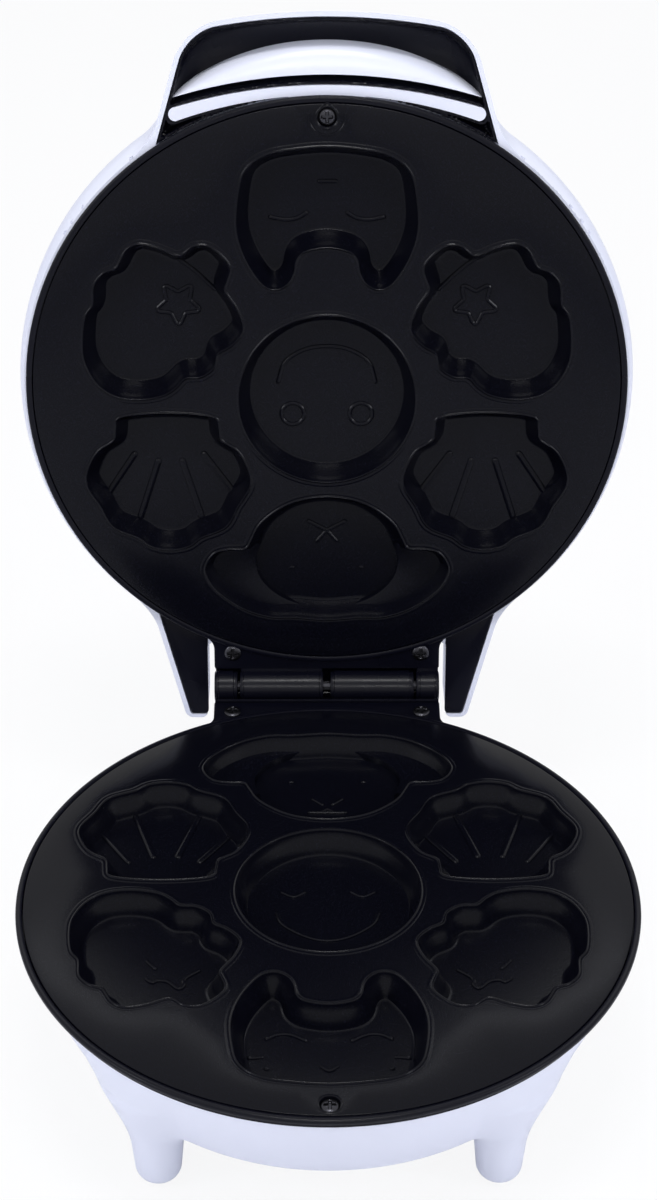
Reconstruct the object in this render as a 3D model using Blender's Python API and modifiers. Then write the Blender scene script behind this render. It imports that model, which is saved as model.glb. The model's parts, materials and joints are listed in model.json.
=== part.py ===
"""Countertop maker of small shaped waffles, standing open, with its lid leaning on its stop.

Two round cast plates with seven moulds each face one another when the lid is closed.
The lower plate sits in a bowl on four legs, the upper one in a domed lid with a handle
at the front and two horns that cover the sides of the hinge at the back.
Metres, +Z up. Everything is drawn with the lid closed, in a frame whose origin is the
centre of the lower plate's face with +Y towards the hinge, and the lid is then turned open.
"""
import math

import bmesh
import bpy
import numpy as np
from mathutils import Matrix, Vector

MM = 0.001

# How the whole stands
OPEN_ANGLE = math.radians(99.9)       # from closed to the lid leaning on its stop
PLATE_HEIGHT = 73.5 * MM              # lower plate's face above the table
PLATE_GAP = 1.0 * MM                  # between the two faces when closed
FIT_GAP = 0.3 * MM                    # between two pieces that touch
OVERRUN = 1.0 * MM                    # how far a cutter runs past what it cuts
ROUND_STEPS = 36                      # facets round a large turned piece
SMALL_STEPS = 12                      # facets round a small one
KNUCKLE_STEPS = 20                    # facets round a hinge knuckle
ARC_STEPS = 64                        # facets round the circle of a wide arc
MERGE_DISTANCE = 0.001 * MM           # points nearer than this are one
OFFSET_STEP = 0.5 * MM                # an outline is moved in steps of this

# Frames: a black ring round each plate, with the hinge bracket on it
BASE_RIM_RADIUS = 112.0 * MM
LID_RIM_EXTRA = 1.4 * MM              # upper ring's edge beyond the lower one's
LID_RIM_RADIUS = BASE_RIM_RADIUS + LID_RIM_EXTRA
RIM_WIDTH = 2.4 * MM                  # ring's top face, round the plate
RIM_HEIGHT = 2.2 * MM                 # ring's outer edge
RIM_OVERHANG = 2.0 * MM               # edge beyond the neck under it
PLATE_EDGE = 2.6 * MM                 # plate's thickness where it lies in the ring
FLANGE_THICKNESS = 2.0 * MM           # ring's floor under the plate's edge
FLANGE_WIDTH = 6.6 * MM

# Hinge
HINGE_OFFSET = 10.6 * MM              # axis behind the upper ring's edge
HINGE_Y = LID_RIM_RADIUS + HINGE_OFFSET
HINGE_Z = 1.3 * MM
BARREL_RADIUS = 6.3 * MM
BARREL_CLEARANCE = 1.0 * MM           # round a barrel, in the other half's bracket
PIN_RADIUS = 2.4 * MM
BRACKET_WIDTH = 88.6 * MM
BRACKET_DEPTH = 8.0 * MM
BRACKET_FILLET = 6.0 * MM
KNUCKLE_GAP = 0.9 * MM                # between neighbouring knuckles, along the axis
END_KNUCKLE_LENGTH = 9.1 * MM
MIDDLE_GAP = 4.6 * MM                 # between the two barrels, at the hinge's middle

# Moulds
MOULD_DEPTH = 8.6 * MM
MOULD_DRAFT = 4.6 * MM                # how far the floor's edge lies inside the rim's
MOULD_LIP = 1.0 * MM                  # rounding of the rim, drawn as a chamfer
MOULD_WALL = 1.8 * MM

# Each outline's width and depth, and its middle, as shares of the lower rim's radius
FACE_SHARE = 0.2955
FACE_PLACE_SHARES = (0.0, 0.0277)
CAT_SPAN_SHARES = (0.589, 0.477)
CAT_PLACE_SHARES = (0.0, -0.6036)
DOG_SPAN_SHARES = (0.83, 0.457)
DOG_PLACE_SHARES = (0.0, 0.6134)
SHELL_SPAN_SHARES = (0.545, 0.496)
SHELL_PLACE_SHARES = (-0.54, 0.326)
SHEEP_SPAN_SHARES = (0.532, 0.536)
SHEEP_PLACE_SHARES = (-0.549, -0.2464)
OUTLINE_STEPS = 22
FLEECE_STEPS = 28                     # the fleecy head has more lobes

# Outlines as shares of half a span, from the middle. The first three are one half,
# which is mirrored; the fleecy head is drawn all round.
CAT_SHARES = [
    (0.0, 0.39), (0.25, 0.45), (0.35, 0.57), (0.38, 0.76), (0.45, 0.92), (0.58, 1.0), (0.73, 0.91),
    (0.91, 0.55), (1.0, 0.13), (0.97, -0.39), (0.89, -0.69), (0.68, -0.88), (0.39, -0.96), (0.0, -1.0)]
DOG_SHARES = [
    (0.0, 1.0), (0.27, 0.96), (0.48, 0.95), (0.7, 0.81), (0.91, 0.52), (1.0, 0.25), (0.99, 0.07),
    (0.92, -0.09), (0.8, -0.14), (0.67, -0.15), (0.62, -0.3), (0.55, -0.55), (0.4, -0.79),
    (0.23, -0.94), (0.0, -1.0)]
SHELL_SHARES = [
    (0.0, 1.0), (0.23, 0.95), (0.39, 0.82), (0.7, 0.66), (0.85, 0.36), (1.0, 0.08), (1.0, -0.14),
    (0.87, -0.43), (0.66, -0.6), (0.63, -0.78), (0.56, -0.94), (0.0, -1.0)]
SHEEP_SHARES = [
    (-0.99, 0.25), (-0.97, 0.51), (-0.84, 0.78), (-0.62, 0.95), (-0.32, 1.0), (-0.02, 0.95),
    (0.14, 0.85), (0.27, 0.72), (0.47, 0.7), (0.63, 0.58), (0.68, 0.4), (0.84, 0.3), (0.97, 0.16),
    (1.0, 0.03), (0.92, -0.19), (0.78, -0.41), (0.81, -0.55), (0.85, -0.69), (0.79, -0.81),
    (0.6, -0.97), (0.41, -0.97), (0.24, -0.85), (-0.02, -0.95), (-0.26, -1.0), (-0.41, -0.93),
    (-0.49, -0.79), (-0.55, -0.69), (-0.7, -0.63), (-0.82, -0.49), (-0.84, -0.29), (-0.86, -0.2),
    (-0.95, -0.06)]

# Screws, all with a sunk pan head
SCREW_HEAD_RADIUS = 3.2 * MM
SCREW_HEAD_HEIGHT = 1.5 * MM
SCREW_SHANK_RADIUS = 1.6 * MM
SCREW_LENGTH = 14.0 * MM
SCREW_SINK = 0.2 * MM                 # head's top below the face round it
FRONT_SCREW_INSET = 7.9 * MM          # front screw, from the rim's edge
REAR_SCREW_INSET = 7.3 * MM           # rear screws, from the bracket's sides
REAR_SCREW_OFFSET = 14.4 * MM         # and in front of the hinge's axis
BOSS_RADIUS = 4.2 * MM
BOSS_DEPTH = 16.0 * MM

# Base housing: a bowl on four legs
WALL = 2.4 * MM
BOWL_DEPTH = 50.0 * MM                # from the plate's face to the bowl's outer bottom
BOWL_BOTTOM_SHARE = 0.66              # radius where the bottom turns flat, of the top's
LEG_INSET = 23.0 * MM                 # front legs' middles, in from the rim's edge
LEG_SPREAD = BASE_RIM_RADIUS - LEG_INSET
LEG_ANGLE = math.radians(47.5)        # front legs, from the X axis
REAR_LEG_INSET = 8.0 * MM             # further out, to carry the open lid
REAR_LEG_SPREAD = BASE_RIM_RADIUS - REAR_LEG_INSET
REAR_LEG_ANGLE = math.radians(66.0)
LEG_FOOT_RADIUS = 7.4 * MM
# Leg sections from the top: shift outwards and radius as shares of the foot's radius, and
# height as a share of the way from the bowl's bottom down to the foot
LEG_SHARES = [
    (0.0, 1.45, -0.05), (0.0, 1.25, 0.5), (0.0, 1.08, 0.83), (0.0, 0.88, 0.95), (0.0, 0.62, 1.0)]
FRONT_LEG_TOP_SHARES = [(0.2, 2.7, -1.5), (0.25, 2.0, -0.8)]
REAR_LEG_TOP_SHARES = [(-1.9, 2.0, -1.5), (-0.9, 1.7, -0.8)]  # lean in, to end under the rim
LEG_CLEARANCE = 0.8 * MM              # leg's end above the table, on its pad
PAD_RADIUS = 3.8 * MM
PAD_THICKNESS = 2.0 * MM
LUG_INSET = 2.3 * MM                  # lug under the hinge bracket, in from its sides
LUG_HEIGHT = 18.0 * MM

# Cord gland at the back
GLAND_Z = -34.0 * MM
GLAND_SEAT_INSET = 4.0 * MM           # flat seat for its flange, in from the rim's edge
GLAND_FACE = BASE_RIM_RADIUS - GLAND_SEAT_INSET
GLAND_BOSS_RADIUS = 9.0 * MM
GLAND_RADIUS = 5.0 * MM
GLAND_FLANGE_RADIUS = 8.0 * MM
GLAND_FLANGE = 2.0 * MM
GLAND_COLLAR = 6.0 * MM               # how far it stands out of its seat
GLAND_TAPER_SHARE = 0.9
GLAND_TAIL = 14.0 * MM
CORD_BORE_RADIUS = 3.3 * MM

# Under each plate
HEATER_RING_SHARE = 0.536             # of the lower rim's radius
HEATER_RING_RADIUS = BASE_RIM_RADIUS * HEATER_RING_SHARE
HEATER_TUBE_RADIUS = 3.2 * MM
HEATER_TERMINAL = 12.0 * MM
HEATER_STEPS = 20
HEATER_MOUTH = math.radians(26.0)     # between the two ends of the ring
REFLECTOR_INSET = 20.0 * MM           # in from the lower rim's edge
REFLECTOR_RADIUS = BASE_RIM_RADIUS - REFLECTOR_INSET
REFLECTOR_THICKNESS = 0.8 * MM
REFLECTOR_LIP = 3.0 * MM
REFLECTOR_HOLE_RADIUS = 20.0 * MM
THERMOSTAT_RADIUS = 8.5 * MM
THERMOSTAT_HEIGHT = 9.0 * MM
THERMOSTAT_FLANGE = 12.0 * MM
STUD_RADIUS = 3.0 * MM
STUD_CIRCLE_SHARE = 0.424             # of the lower rim's radius

# Lid housing
LID_OVERHANG = 3.0 * MM               # widest part beyond the upper ring's edge
LID_RADIUS = LID_RIM_RADIUS + LID_OVERHANG
LID_HEIGHT = 45.0 * MM                # crown above the upper plate's face
LID_LIP = 0.8 * MM                    # housing's edge beyond the ring's
DOME_FLAT_SHARE = 0.5                 # where the crown starts to round off, of the radius
DOME_WAIST_SHARE = 0.27               # height where the side is widest, of the crown's
DOME_STEPS = 6
HANDLE_LENGTH = 27.0 * MM             # its tip beyond the lid
HANDLE_REACH = LID_RADIUS + HANDLE_LENGTH
HANDLE_WIDTH = 127.0 * MM             # at its root
HANDLE_TIP_WIDTH = 103.0 * MM
HANDLE_BOW = 6.0 * MM                 # tip's middle beyond its corners
HANDLE_CORNER = 11.0 * MM
HANDLE_STEPS = 36
# Rounding of the handle's top edge: inset and drop as shares of its corner radius
HANDLE_TOP_SHARES = [(1.0, 0.0), (0.5, 0.08), (0.17, 0.33), (0.0, 0.7)]
HANDLE_HEIGHT = 22.0 * MM
HANDLE_ROOT_INSET = 24.4 * MM         # its root, inside the lid
HANDLE_ROOT_Y = LID_RADIUS - HANDLE_ROOT_INSET
HANDLE_EDGE = 1.8 * MM                # white edge round the dark recess
RECESS_DEPTH = 12.0 * MM
RECESS_LIP = 0.5 * MM                 # recess's near edge beyond the lid, at x = 0
RECESS_START = LID_RADIUS + RECESS_LIP
RECESS_ARC = 190.0 * MM
LINER_WALL = 1.5 * MM
LEDGE_OFFSET = 2.7 * MM               # white ledge in the recess, from its near edge
LEDGE_START = RECESS_START + LEDGE_OFFSET
LEDGE_WIDTH = 10.0 * MM
LEDGE_END = LEDGE_START + LEDGE_WIDTH
LEDGE_SINK = 1.6 * MM                 # ledge's face above the handle's lower edge

# Horns beside the hinge
HORN_GAP = 3.0 * MM                   # slot between the hinge bracket and a horn
HORN_ROOT_WIDTH = 20.7 * MM
HORN_TIP_WIDTH = 8.3 * MM
HORN_REACH = 15.0 * MM                # tip behind the hinge's axis
HORN_INNER_X = BRACKET_WIDTH / 2 + HORN_GAP
HORN_OUTER_X = HORN_INNER_X + HORN_ROOT_WIDTH
HORN_TIP_X = HORN_INNER_X + HORN_TIP_WIDTH
HORN_SINK = 2.5 * MM                  # its root's outer corner, inside the lid's edge
HORN_ROOT_Y = math.sqrt(LID_RADIUS ** 2 - HORN_OUTER_X ** 2) - HORN_SINK
HORN_TIP_Y = HINGE_Y + HORN_REACH
HORN_CORNER = 2.5 * MM
HORN_STEPS = 20
HORN_HEIGHT = 30.0 * MM
HORN_TOP_SHARES = [(1.0, 0.0), (0.33, 0.7), (0.0, 2.0)]
HORN_COVER = 2.0 * MM
HORN_EDGE = 1.5 * MM

# Lamps on the lid
LAMP_RADIUS = 3.0 * MM
LAMP_SPACING = 20.0 * MM
LAMP_INSET = 32.4 * MM                # in from the lid's widest part
LAMP_Y = LAMP_INSET - LID_RADIUS
LAMP_HEIGHT = 9.0 * MM
LAMP_PROUD = 1.2 * MM

# Sizes that follow from those above
MOULD_BOTTOM = -(MOULD_DEPTH + MOULD_WALL)
NECK_DEPTH = PLATE_EDGE + FIT_GAP + FLANGE_THICKNESS
BRACKET_END = HINGE_Y - BARREL_RADIUS - BARREL_CLEARANCE
HEATER_Z = MOULD_BOTTOM - FIT_GAP - HEATER_TUBE_RADIUS
REFLECTOR_Z = HEATER_Z - HEATER_TUBE_RADIUS - 2 * FIT_GAP


def fresh_scene():
    for thing in list(bpy.data.objects):
        bpy.data.objects.remove(thing, do_unlink=True)


def make_collection(name):
    group = bpy.data.collections.new(name)
    bpy.context.scene.collection.children.link(group)
    return group


def paint(name, colour, roughness, metallic=0.0):
    """One Principled finish."""
    finish = bpy.data.materials.new(name)
    finish.use_nodes = True
    shader = finish.node_tree.nodes["Principled BSDF"]
    shader.inputs["Base Color"].default_value = (*colour, 1.0)
    shader.inputs["Roughness"].default_value = roughness
    shader.inputs["Metallic"].default_value = metallic
    return finish


def add_object(name, data, group):
    thing = bpy.data.objects.new(name, data)
    group.objects.link(thing)
    return thing


def baked(thing):
    """The mesh that an object shows, with its modifiers worked out and its place applied."""
    bpy.context.view_layer.update()
    seen = thing.evaluated_get(bpy.context.evaluated_depsgraph_get())
    mesh = bpy.data.meshes.new_from_object(seen)
    mesh.transform(thing.matrix_world)
    form = bmesh.new()
    form.from_mesh(mesh)
    bmesh.ops.remove_doubles(form, verts=form.verts, dist=MERGE_DISTANCE)
    form.to_mesh(mesh)
    form.free()
    return mesh


def settle(thing):
    """Turn an object into its baked mesh, standing at the origin."""
    mesh = baked(thing)
    name, group = thing.name, thing.users_collection[0]
    bpy.data.objects.remove(thing, do_unlink=True)
    return add_object(name, mesh, group)


def turned(name, profile, steps=ROUND_STEPS):
    """Turn a profile of (radius, height) about Z. It runs down its outer side."""
    mesh = bpy.data.meshes.new(name)
    verts = [(radius, 0.0, height) for radius, height in profile]
    count = len(verts)
    closed = profile[0][0] > 0 and profile[-1][0] > 0
    edges = [(i, (i + 1) % count) for i in range(count if closed else count - 1)]
    mesh.from_pydata(verts, edges, [])
    thing = add_object(name, mesh, tools)
    screw = thing.modifiers.new("Turn", "SCREW")
    screw.steps = screw.render_steps = steps
    screw.use_merge_vertices = True
    screw.merge_threshold = MERGE_DISTANCE
    return settle(thing)


def cylinder(name, radius, low, high, steps=SMALL_STEPS):
    """A plain round bar between two points."""
    axis = Vector(high) - Vector(low)
    form = bmesh.new()
    bmesh.ops.create_cone(
        form, cap_ends=True, segments=steps, radius1=radius, radius2=radius, depth=axis.length)
    turn = axis.to_track_quat("Z", "Y").to_matrix().to_4x4()
    form.transform(Matrix.Translation((Vector(low) + Vector(high)) / 2) @ turn)
    mesh = bpy.data.meshes.new(name)
    form.to_mesh(mesh)
    form.free()
    return add_object(name, mesh, tools)


def box(name, low, high):
    form = bmesh.new()
    bmesh.ops.create_cube(form, size=1.0)
    size = [b - a for a, b in zip(low, high)]
    middle = [(a + b) / 2 for a, b in zip(low, high)]
    form.transform(Matrix.Translation(middle) @ Matrix.Diagonal((*size, 1.0)))
    mesh = bpy.data.meshes.new(name)
    form.to_mesh(mesh)
    form.free()
    return add_object(name, mesh, tools)


def loft(name, rings):
    """Skin between closed rings of as many points, with flat ends. Rings turn anticlockwise
    seen from above and go from the highest to the lowest."""
    form = bmesh.new()
    rows = [[form.verts.new(point) for point in ring] for ring in rings]
    count = len(rows[0])
    for upper, lower in zip(rows, rows[1:]):
        for i in range(count):
            j = (i + 1) % count
            form.faces.new((upper[i], lower[i], lower[j], upper[j]))
    form.faces.new(rows[0])
    form.faces.new(reversed(rows[-1]))
    mesh = bpy.data.meshes.new(name)
    form.to_mesh(mesh)
    form.free()
    return add_object(name, mesh, tools)


def joined_mesh(name, things):
    """Put separate shapes that don't meet into one object, to cut or join in one go."""
    form = bmesh.new()
    for thing in things:
        form.from_mesh(thing.data)
        bpy.data.objects.remove(thing, do_unlink=True)
    mesh = bpy.data.meshes.new(name)
    form.to_mesh(mesh)
    form.free()
    return add_object(name, mesh, tools)


def combine(thing, others, operation):
    """Join others to a shape, or cut them from it, and settle the result."""
    for other in others:
        step = thing.modifiers.new(other.name, "BOOLEAN")
        step.operation = operation
        step.solver = "EXACT"
        step.object = other
    result = settle(thing)
    for other in others:
        bpy.data.objects.remove(other, do_unlink=True)
    return result


def with_added(thing, *others):
    return combine(thing, others, "UNION")


def with_cut(thing, *others):
    return combine(thing, others, "DIFFERENCE")


def spaced(points, count):
    """As many points, evenly spaced along a closed outline."""
    points = np.asarray(points, float)
    loop = np.vstack([points, points[:1]])
    along = np.concatenate([[0.0], np.cumsum(np.linalg.norm(np.diff(loop, axis=0), axis=1))])
    wanted = np.linspace(0.0, along[-1], count, endpoint=False)
    return np.column_stack([np.interp(wanted, along, loop[:, axis]) for axis in range(2)])


def smooth_outline(corners, count, fineness=12):
    """A smooth closed curve through the corners: Catmull-Rom, then evenly spaced points."""
    corners = np.asarray(corners, float)
    before, after, later = (np.roll(corners, shift, axis=0) for shift in (1, -1, -2))
    t = np.linspace(0.0, 1.0, fineness, endpoint=False)[None, :, None]
    a, b, c, d = (group[:, None, :] for group in (before, corners, after, later))
    curve = 0.5 * (2 * b + (c - a) * t + (2 * a - 5 * b + 4 * c - d) * t ** 2
                   + (3 * b - a - 3 * c + d) * t ** 3)
    return anticlockwise(spaced(curve.reshape(-1, 2), count))


def anticlockwise(points):
    x, y = points[:, 0], points[:, 1]
    turn = np.sum(x * np.roll(y, -1) - np.roll(x, -1) * y)
    return points if turn > 0 else points[::-1]


def grown(points, distance):
    """An outline moved outwards by a distance, or inwards by a negative one, in small steps
    with its points spaced evenly after each, so that tight corners don't fold over."""
    steps = max(1, math.ceil(abs(distance) / OFFSET_STEP))
    points = np.array(points, float)
    for _ in range(steps):
        along = np.roll(points, -1, axis=0) - np.roll(points, 1, axis=0)
        outward = np.column_stack([along[:, 1], -along[:, 0]])
        outward /= np.linalg.norm(outward, axis=1)[:, None]
        points = spaced(points + outward * distance / steps, len(points))
    return points


def rounded(corners, radii, steps=6):
    """A polygon with an arc of a given radius in each corner, or none where that is zero."""
    corners = [Vector(corner) for corner in corners]
    points = []
    for i, corner in enumerate(corners):
        if not radii[i]:
            points.append(tuple(corner))
            continue
        to_last = (corners[i - 1] - corner).normalized()
        to_next = (corners[(i + 1) % len(corners)] - corner).normalized()
        half = to_last.angle(to_next) / 2
        reach = radii[i] / math.tan(half)
        middle = corner + (to_last + to_next).normalized() * radii[i] / math.sin(half)
        start = corner + to_last * reach - middle
        end = corner + to_next * reach - middle
        first, sweep = math.atan2(start.y, start.x), start.angle_signed(end)
        for k in range(steps + 1):
            turn = first - sweep * k / steps
            points.append((middle.x + radii[i] * math.cos(turn), middle.y + radii[i] * math.sin(turn)))
    return anticlockwise(np.array(points))


def at_height(points, height):
    return [(x, y, height) for x, y in points]


def prism(name, outline, high, low):
    return loft(name, [at_height(outline, high), at_height(outline, low)])


def circle(radius, centre=(0.0, 0.0), steps=SMALL_STEPS):
    turns = np.linspace(0.0, math.tau, steps, endpoint=False)
    return np.column_stack([centre[0] + radius * np.cos(turns), centre[1] + radius * np.sin(turns)])


def mirrored_half(shares):
    """A half outline of shares, with its mirror image joined on."""
    return shares + [(-x, y) for x, y in reversed(shares[1:-1])]


def placed(shares, span, place, side=1):
    """An outline of shares at its real size and place, or mirrored where the side is -1."""
    radius = BASE_RIM_RADIUS
    return [(side * radius * (place[0] + x * span[0] / 2), radius * (place[1] + y * span[1] / 2))
            for x, y in shares]


def face_place():
    return [BASE_RIM_RADIUS * share for share in FACE_PLACE_SHARES]


def mould_outlines():
    """The seven moulds' rims, by name, in the plate's plane."""
    outlines = {"face": circle(BASE_RIM_RADIUS * FACE_SHARE, face_place(), OUTLINE_STEPS)}
    cat = placed(mirrored_half(CAT_SHARES), CAT_SPAN_SHARES, CAT_PLACE_SHARES)
    dog = placed(mirrored_half(DOG_SHARES), DOG_SPAN_SHARES, DOG_PLACE_SHARES)
    outlines["cat"] = smooth_outline(cat, OUTLINE_STEPS)
    outlines["dog"] = smooth_outline(dog, OUTLINE_STEPS)
    for label, side in (("left", 1), ("right", -1)):
        shell = placed(mirrored_half(SHELL_SHARES), SHELL_SPAN_SHARES, SHELL_PLACE_SHARES, side)
        sheep = placed(SHEEP_SHARES, SHEEP_SPAN_SHARES, SHEEP_PLACE_SHARES, side)
        outlines["shell_" + label] = smooth_outline(shell, OUTLINE_STEPS)
        outlines["sheep_" + label] = smooth_outline(sheep, FLEECE_STEPS)
    return outlines


def upside_down(thing):
    """Mirror a piece of the base about the plane between the plates, for the lid."""
    mirror = Matrix.Diagonal((1.0, 1.0, -1.0, 1.0))
    thing.data.transform(Matrix.Translation((0.0, 0.0, PLATE_GAP)) @ mirror)
    thing.data.flip_normals()
    return thing


def screw_places(rim_radius):
    """The three screws, by name, seen from above."""
    return {
        "front": (0.0, -(rim_radius - FRONT_SCREW_INSET)),
        "rear_left": (-(BRACKET_WIDTH / 2 - REAR_SCREW_INSET), HINGE_Y - REAR_SCREW_OFFSET),
        "rear_right": (BRACKET_WIDTH / 2 - REAR_SCREW_INSET, HINGE_Y - REAR_SCREW_OFFSET)}


def screw(name, place):
    """A pan head on a plain shank, pointing down."""
    top = -SCREW_SINK
    crown = SCREW_HEAD_HEIGHT / 3
    body = turned(name, [
        (0.0, top), (SCREW_HEAD_RADIUS - crown, top), (SCREW_HEAD_RADIUS, top - crown),
        (SCREW_HEAD_RADIUS, top - SCREW_HEAD_HEIGHT), (SCREW_SHANK_RADIUS, top - SCREW_HEAD_HEIGHT),
        (SCREW_SHANK_RADIUS, top - SCREW_LENGTH), (0.0, top - SCREW_LENGTH)], SMALL_STEPS)
    body.data.transform(Matrix.Translation((*place, 0.0)))
    return body


def screw_hole(place, face, end):
    """Cutter for a screw: the sunk head's seat and the shank's way through."""
    seat = face - SCREW_SINK - SCREW_HEAD_HEIGHT - FIT_GAP
    tool = turned("screw_hole", [
        (0.0, face + OVERRUN), (SCREW_HEAD_RADIUS + FIT_GAP, face + OVERRUN),
        (SCREW_HEAD_RADIUS + FIT_GAP, seat), (SCREW_SHANK_RADIUS + FIT_GAP, seat),
        (SCREW_SHANK_RADIUS + FIT_GAP, end), (0.0, end)], SMALL_STEPS)
    tool.data.transform(Matrix.Translation((*place, 0.0)))
    return tool


def screw_boss(rim_radius, wall_radius):
    """Post under the front screw, with a rib to the housing's wall."""
    x, y = screw_places(rim_radius)["front"]
    top = -(NECK_DEPTH + FIT_GAP)
    post = cylinder("boss", BOSS_RADIUS, (x, y, top), (x, y, top - BOSS_DEPTH))
    rib = box("rib", (-WALL / 2, -(wall_radius - WALL / 2), top - BOSS_DEPTH), (WALL / 2, y, top - FIT_GAP))
    return with_added(post, rib)


def hinge_lug(outer_radius):
    """Lug at the back of a housing that carries the hinge bracket, sloped in at its end."""
    top = -(BRACKET_DEPTH + FIT_GAP)
    half = BRACKET_WIDTH / 2 - LUG_INSET
    lug = np.array([(-half, HINGE_Y / 2), (half, HINGE_Y / 2), (half, BRACKET_END), (-half, BRACKET_END)])
    slim = lug * np.array([1.0, (outer_radius - WALL) / BRACKET_END])
    middle, low = top - LUG_HEIGHT / 2, top - LUG_HEIGHT
    return loft("lug", [at_height(lug, top), at_height(lug, middle), at_height(slim, low)])


def pilot_holes(rim_radius):
    end = -(SCREW_LENGTH + SCREW_SINK + FIT_GAP)
    return joined_mesh("pilots", [
        cylinder("pilot", SCREW_SHANK_RADIUS + FIT_GAP, (*place, 0.0), (*place, end))
        for place in screw_places(rim_radius).values()])


def plate(name, rim_radius):
    """Cast plate: a disc with a pan hanging under it for each mould, hollowed from above."""
    radius = rim_radius - RIM_WIDTH - FIT_GAP
    outlines = mould_outlines().values()
    body = turned(name, [(0.0, 0.0), (radius, 0.0), (radius, -PLATE_EDGE), (0.0, -PLATE_EDGE)])
    pans, hollows = [], []
    for outline in outlines:
        floor = grown(outline, -MOULD_DRAFT)
        pans.append(loft("pan", [
            at_height(grown(outline, MOULD_WALL), -PLATE_EDGE / 2),
            at_height(grown(floor, MOULD_WALL), MOULD_BOTTOM)]))
        lip = grown(outline, MOULD_LIP)
        hollows.append(loft("hollow", [
            at_height(lip, OVERRUN), at_height(lip, 0.0), at_height(outline, -MOULD_LIP),
            at_height(floor, -MOULD_DEPTH)]))
    body = with_added(body, joined_mesh("pans", pans), joined_mesh("studs", plate_studs()))
    body = with_cut(body, joined_mesh("hollows", hollows))
    front = screw_places(rim_radius)["front"]
    return with_cut(body, screw_hole(front, 0.0, MOULD_BOTTOM))


def plate_studs():
    """Four posts between the moulds, which carry the heater's reflector."""
    radius = BASE_RIM_RADIUS * STUD_CIRCLE_SHARE
    turns = [math.pi * (k + 0.5) / 2 for k in range(4)]
    places = [(radius * math.cos(turn), radius * math.sin(turn)) for turn in turns]
    return [cylinder("stud", STUD_RADIUS, (*place, -PLATE_EDGE / 2), (*place, REFLECTOR_Z + FIT_GAP))
            for place in places]


def bracket_outline(rim_radius, grow=0.0):
    """The hinge bracket seen from above: straight sides with a fillet on to the round rim."""
    half = BRACKET_WIDTH / 2 + grow
    fillet = BRACKET_FILLET - grow
    rim = rim_radius + grow
    centre = Vector((half + fillet, math.sqrt((rim + fillet) ** 2 - (half + fillet) ** 2)))
    first = math.atan2(-centre.y, -centre.x)
    side = []
    for k in range(7):
        turn = first + (-math.pi - first) * k / 6
        side.append((centre.x + fillet * math.cos(turn), centre.y + fillet * math.sin(turn)))
    inner_y = rim_radius - FLANGE_WIDTH - RIM_WIDTH - BRACKET_FILLET - grow
    right = [(side[0][0] + grow, inner_y), *side, (half, BRACKET_END + grow)]
    return np.array(right + [(-x, y) for x, y in reversed(right)])


def knuckle_spans(own_side):
    """The x ranges of one half's two knuckles: the base has the left end, the lid the right."""
    half = BRACKET_WIDTH / 2
    end = (-half, -half + END_KNUCKLE_LENGTH)
    stop = half - END_KNUCKLE_LENGTH - KNUCKLE_GAP
    barrel = (MIDDLE_GAP / 2, stop)
    return [end, barrel] if own_side == "base" else [(-high, -low) for low, high in (end, barrel)]


def frame_ring(name, rim_radius, own_side):
    """Black ring that holds a plate, with the hinge bracket and this half's knuckles."""
    neck = rim_radius - RIM_OVERHANG
    body = turned(name, [
        (0.0, 0.0), (rim_radius, 0.0), (rim_radius, -RIM_HEIGHT), (neck, -RIM_HEIGHT),
        (neck, -NECK_DEPTH), (0.0, -NECK_DEPTH)])
    body = with_added(body, prism("bracket", bracket_outline(rim_radius), 0.0, -BRACKET_DEPTH))
    axis_z = HINGE_Z if own_side == "base" else PLATE_GAP - HINGE_Z
    for low, high in knuckle_spans(own_side):
        knuckle = cylinder(
            "knuckle", BARREL_RADIUS, (low, HINGE_Y, axis_z), (high, HINGE_Y, axis_z),
            KNUCKLE_STEPS)
        web = box(
            "web", (low + FIT_GAP, BRACKET_END - OVERRUN, -BRACKET_DEPTH + BARREL_CLEARANCE),
            (high - FIT_GAP, HINGE_Y - OVERRUN, -FIT_GAP))
        body = with_added(body, knuckle, web)
    pocket = rim_radius - RIM_WIDTH
    floor = -(PLATE_EDGE + FIT_GAP)
    opening = pocket - FLANGE_WIDTH
    body = with_cut(body, turned("pocket", [
        (0.0, OVERRUN), (pocket, OVERRUN), (pocket, floor), (opening, floor),
        (opening, -BRACKET_DEPTH - OVERRUN), (0.0, -BRACKET_DEPTH - OVERRUN)]))
    half = BRACKET_WIDTH / 2 + OVERRUN
    body = with_cut(body, cylinder(
        "pin_way", PIN_RADIUS + FIT_GAP, (-half, HINGE_Y, axis_z), (half, HINGE_Y, axis_z)))
    places = screw_places(rim_radius)
    holes = [screw_hole(places[key], 0.0, -BRACKET_DEPTH - OVERRUN) for key in ("rear_left", "rear_right")]
    front = places["front"]
    holes.append(cylinder("front_way", SCREW_SHANK_RADIUS + FIT_GAP, (*front, 0.0), (*front, -BRACKET_DEPTH)))
    return with_cut(body, joined_mesh("ways", holes))


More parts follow.
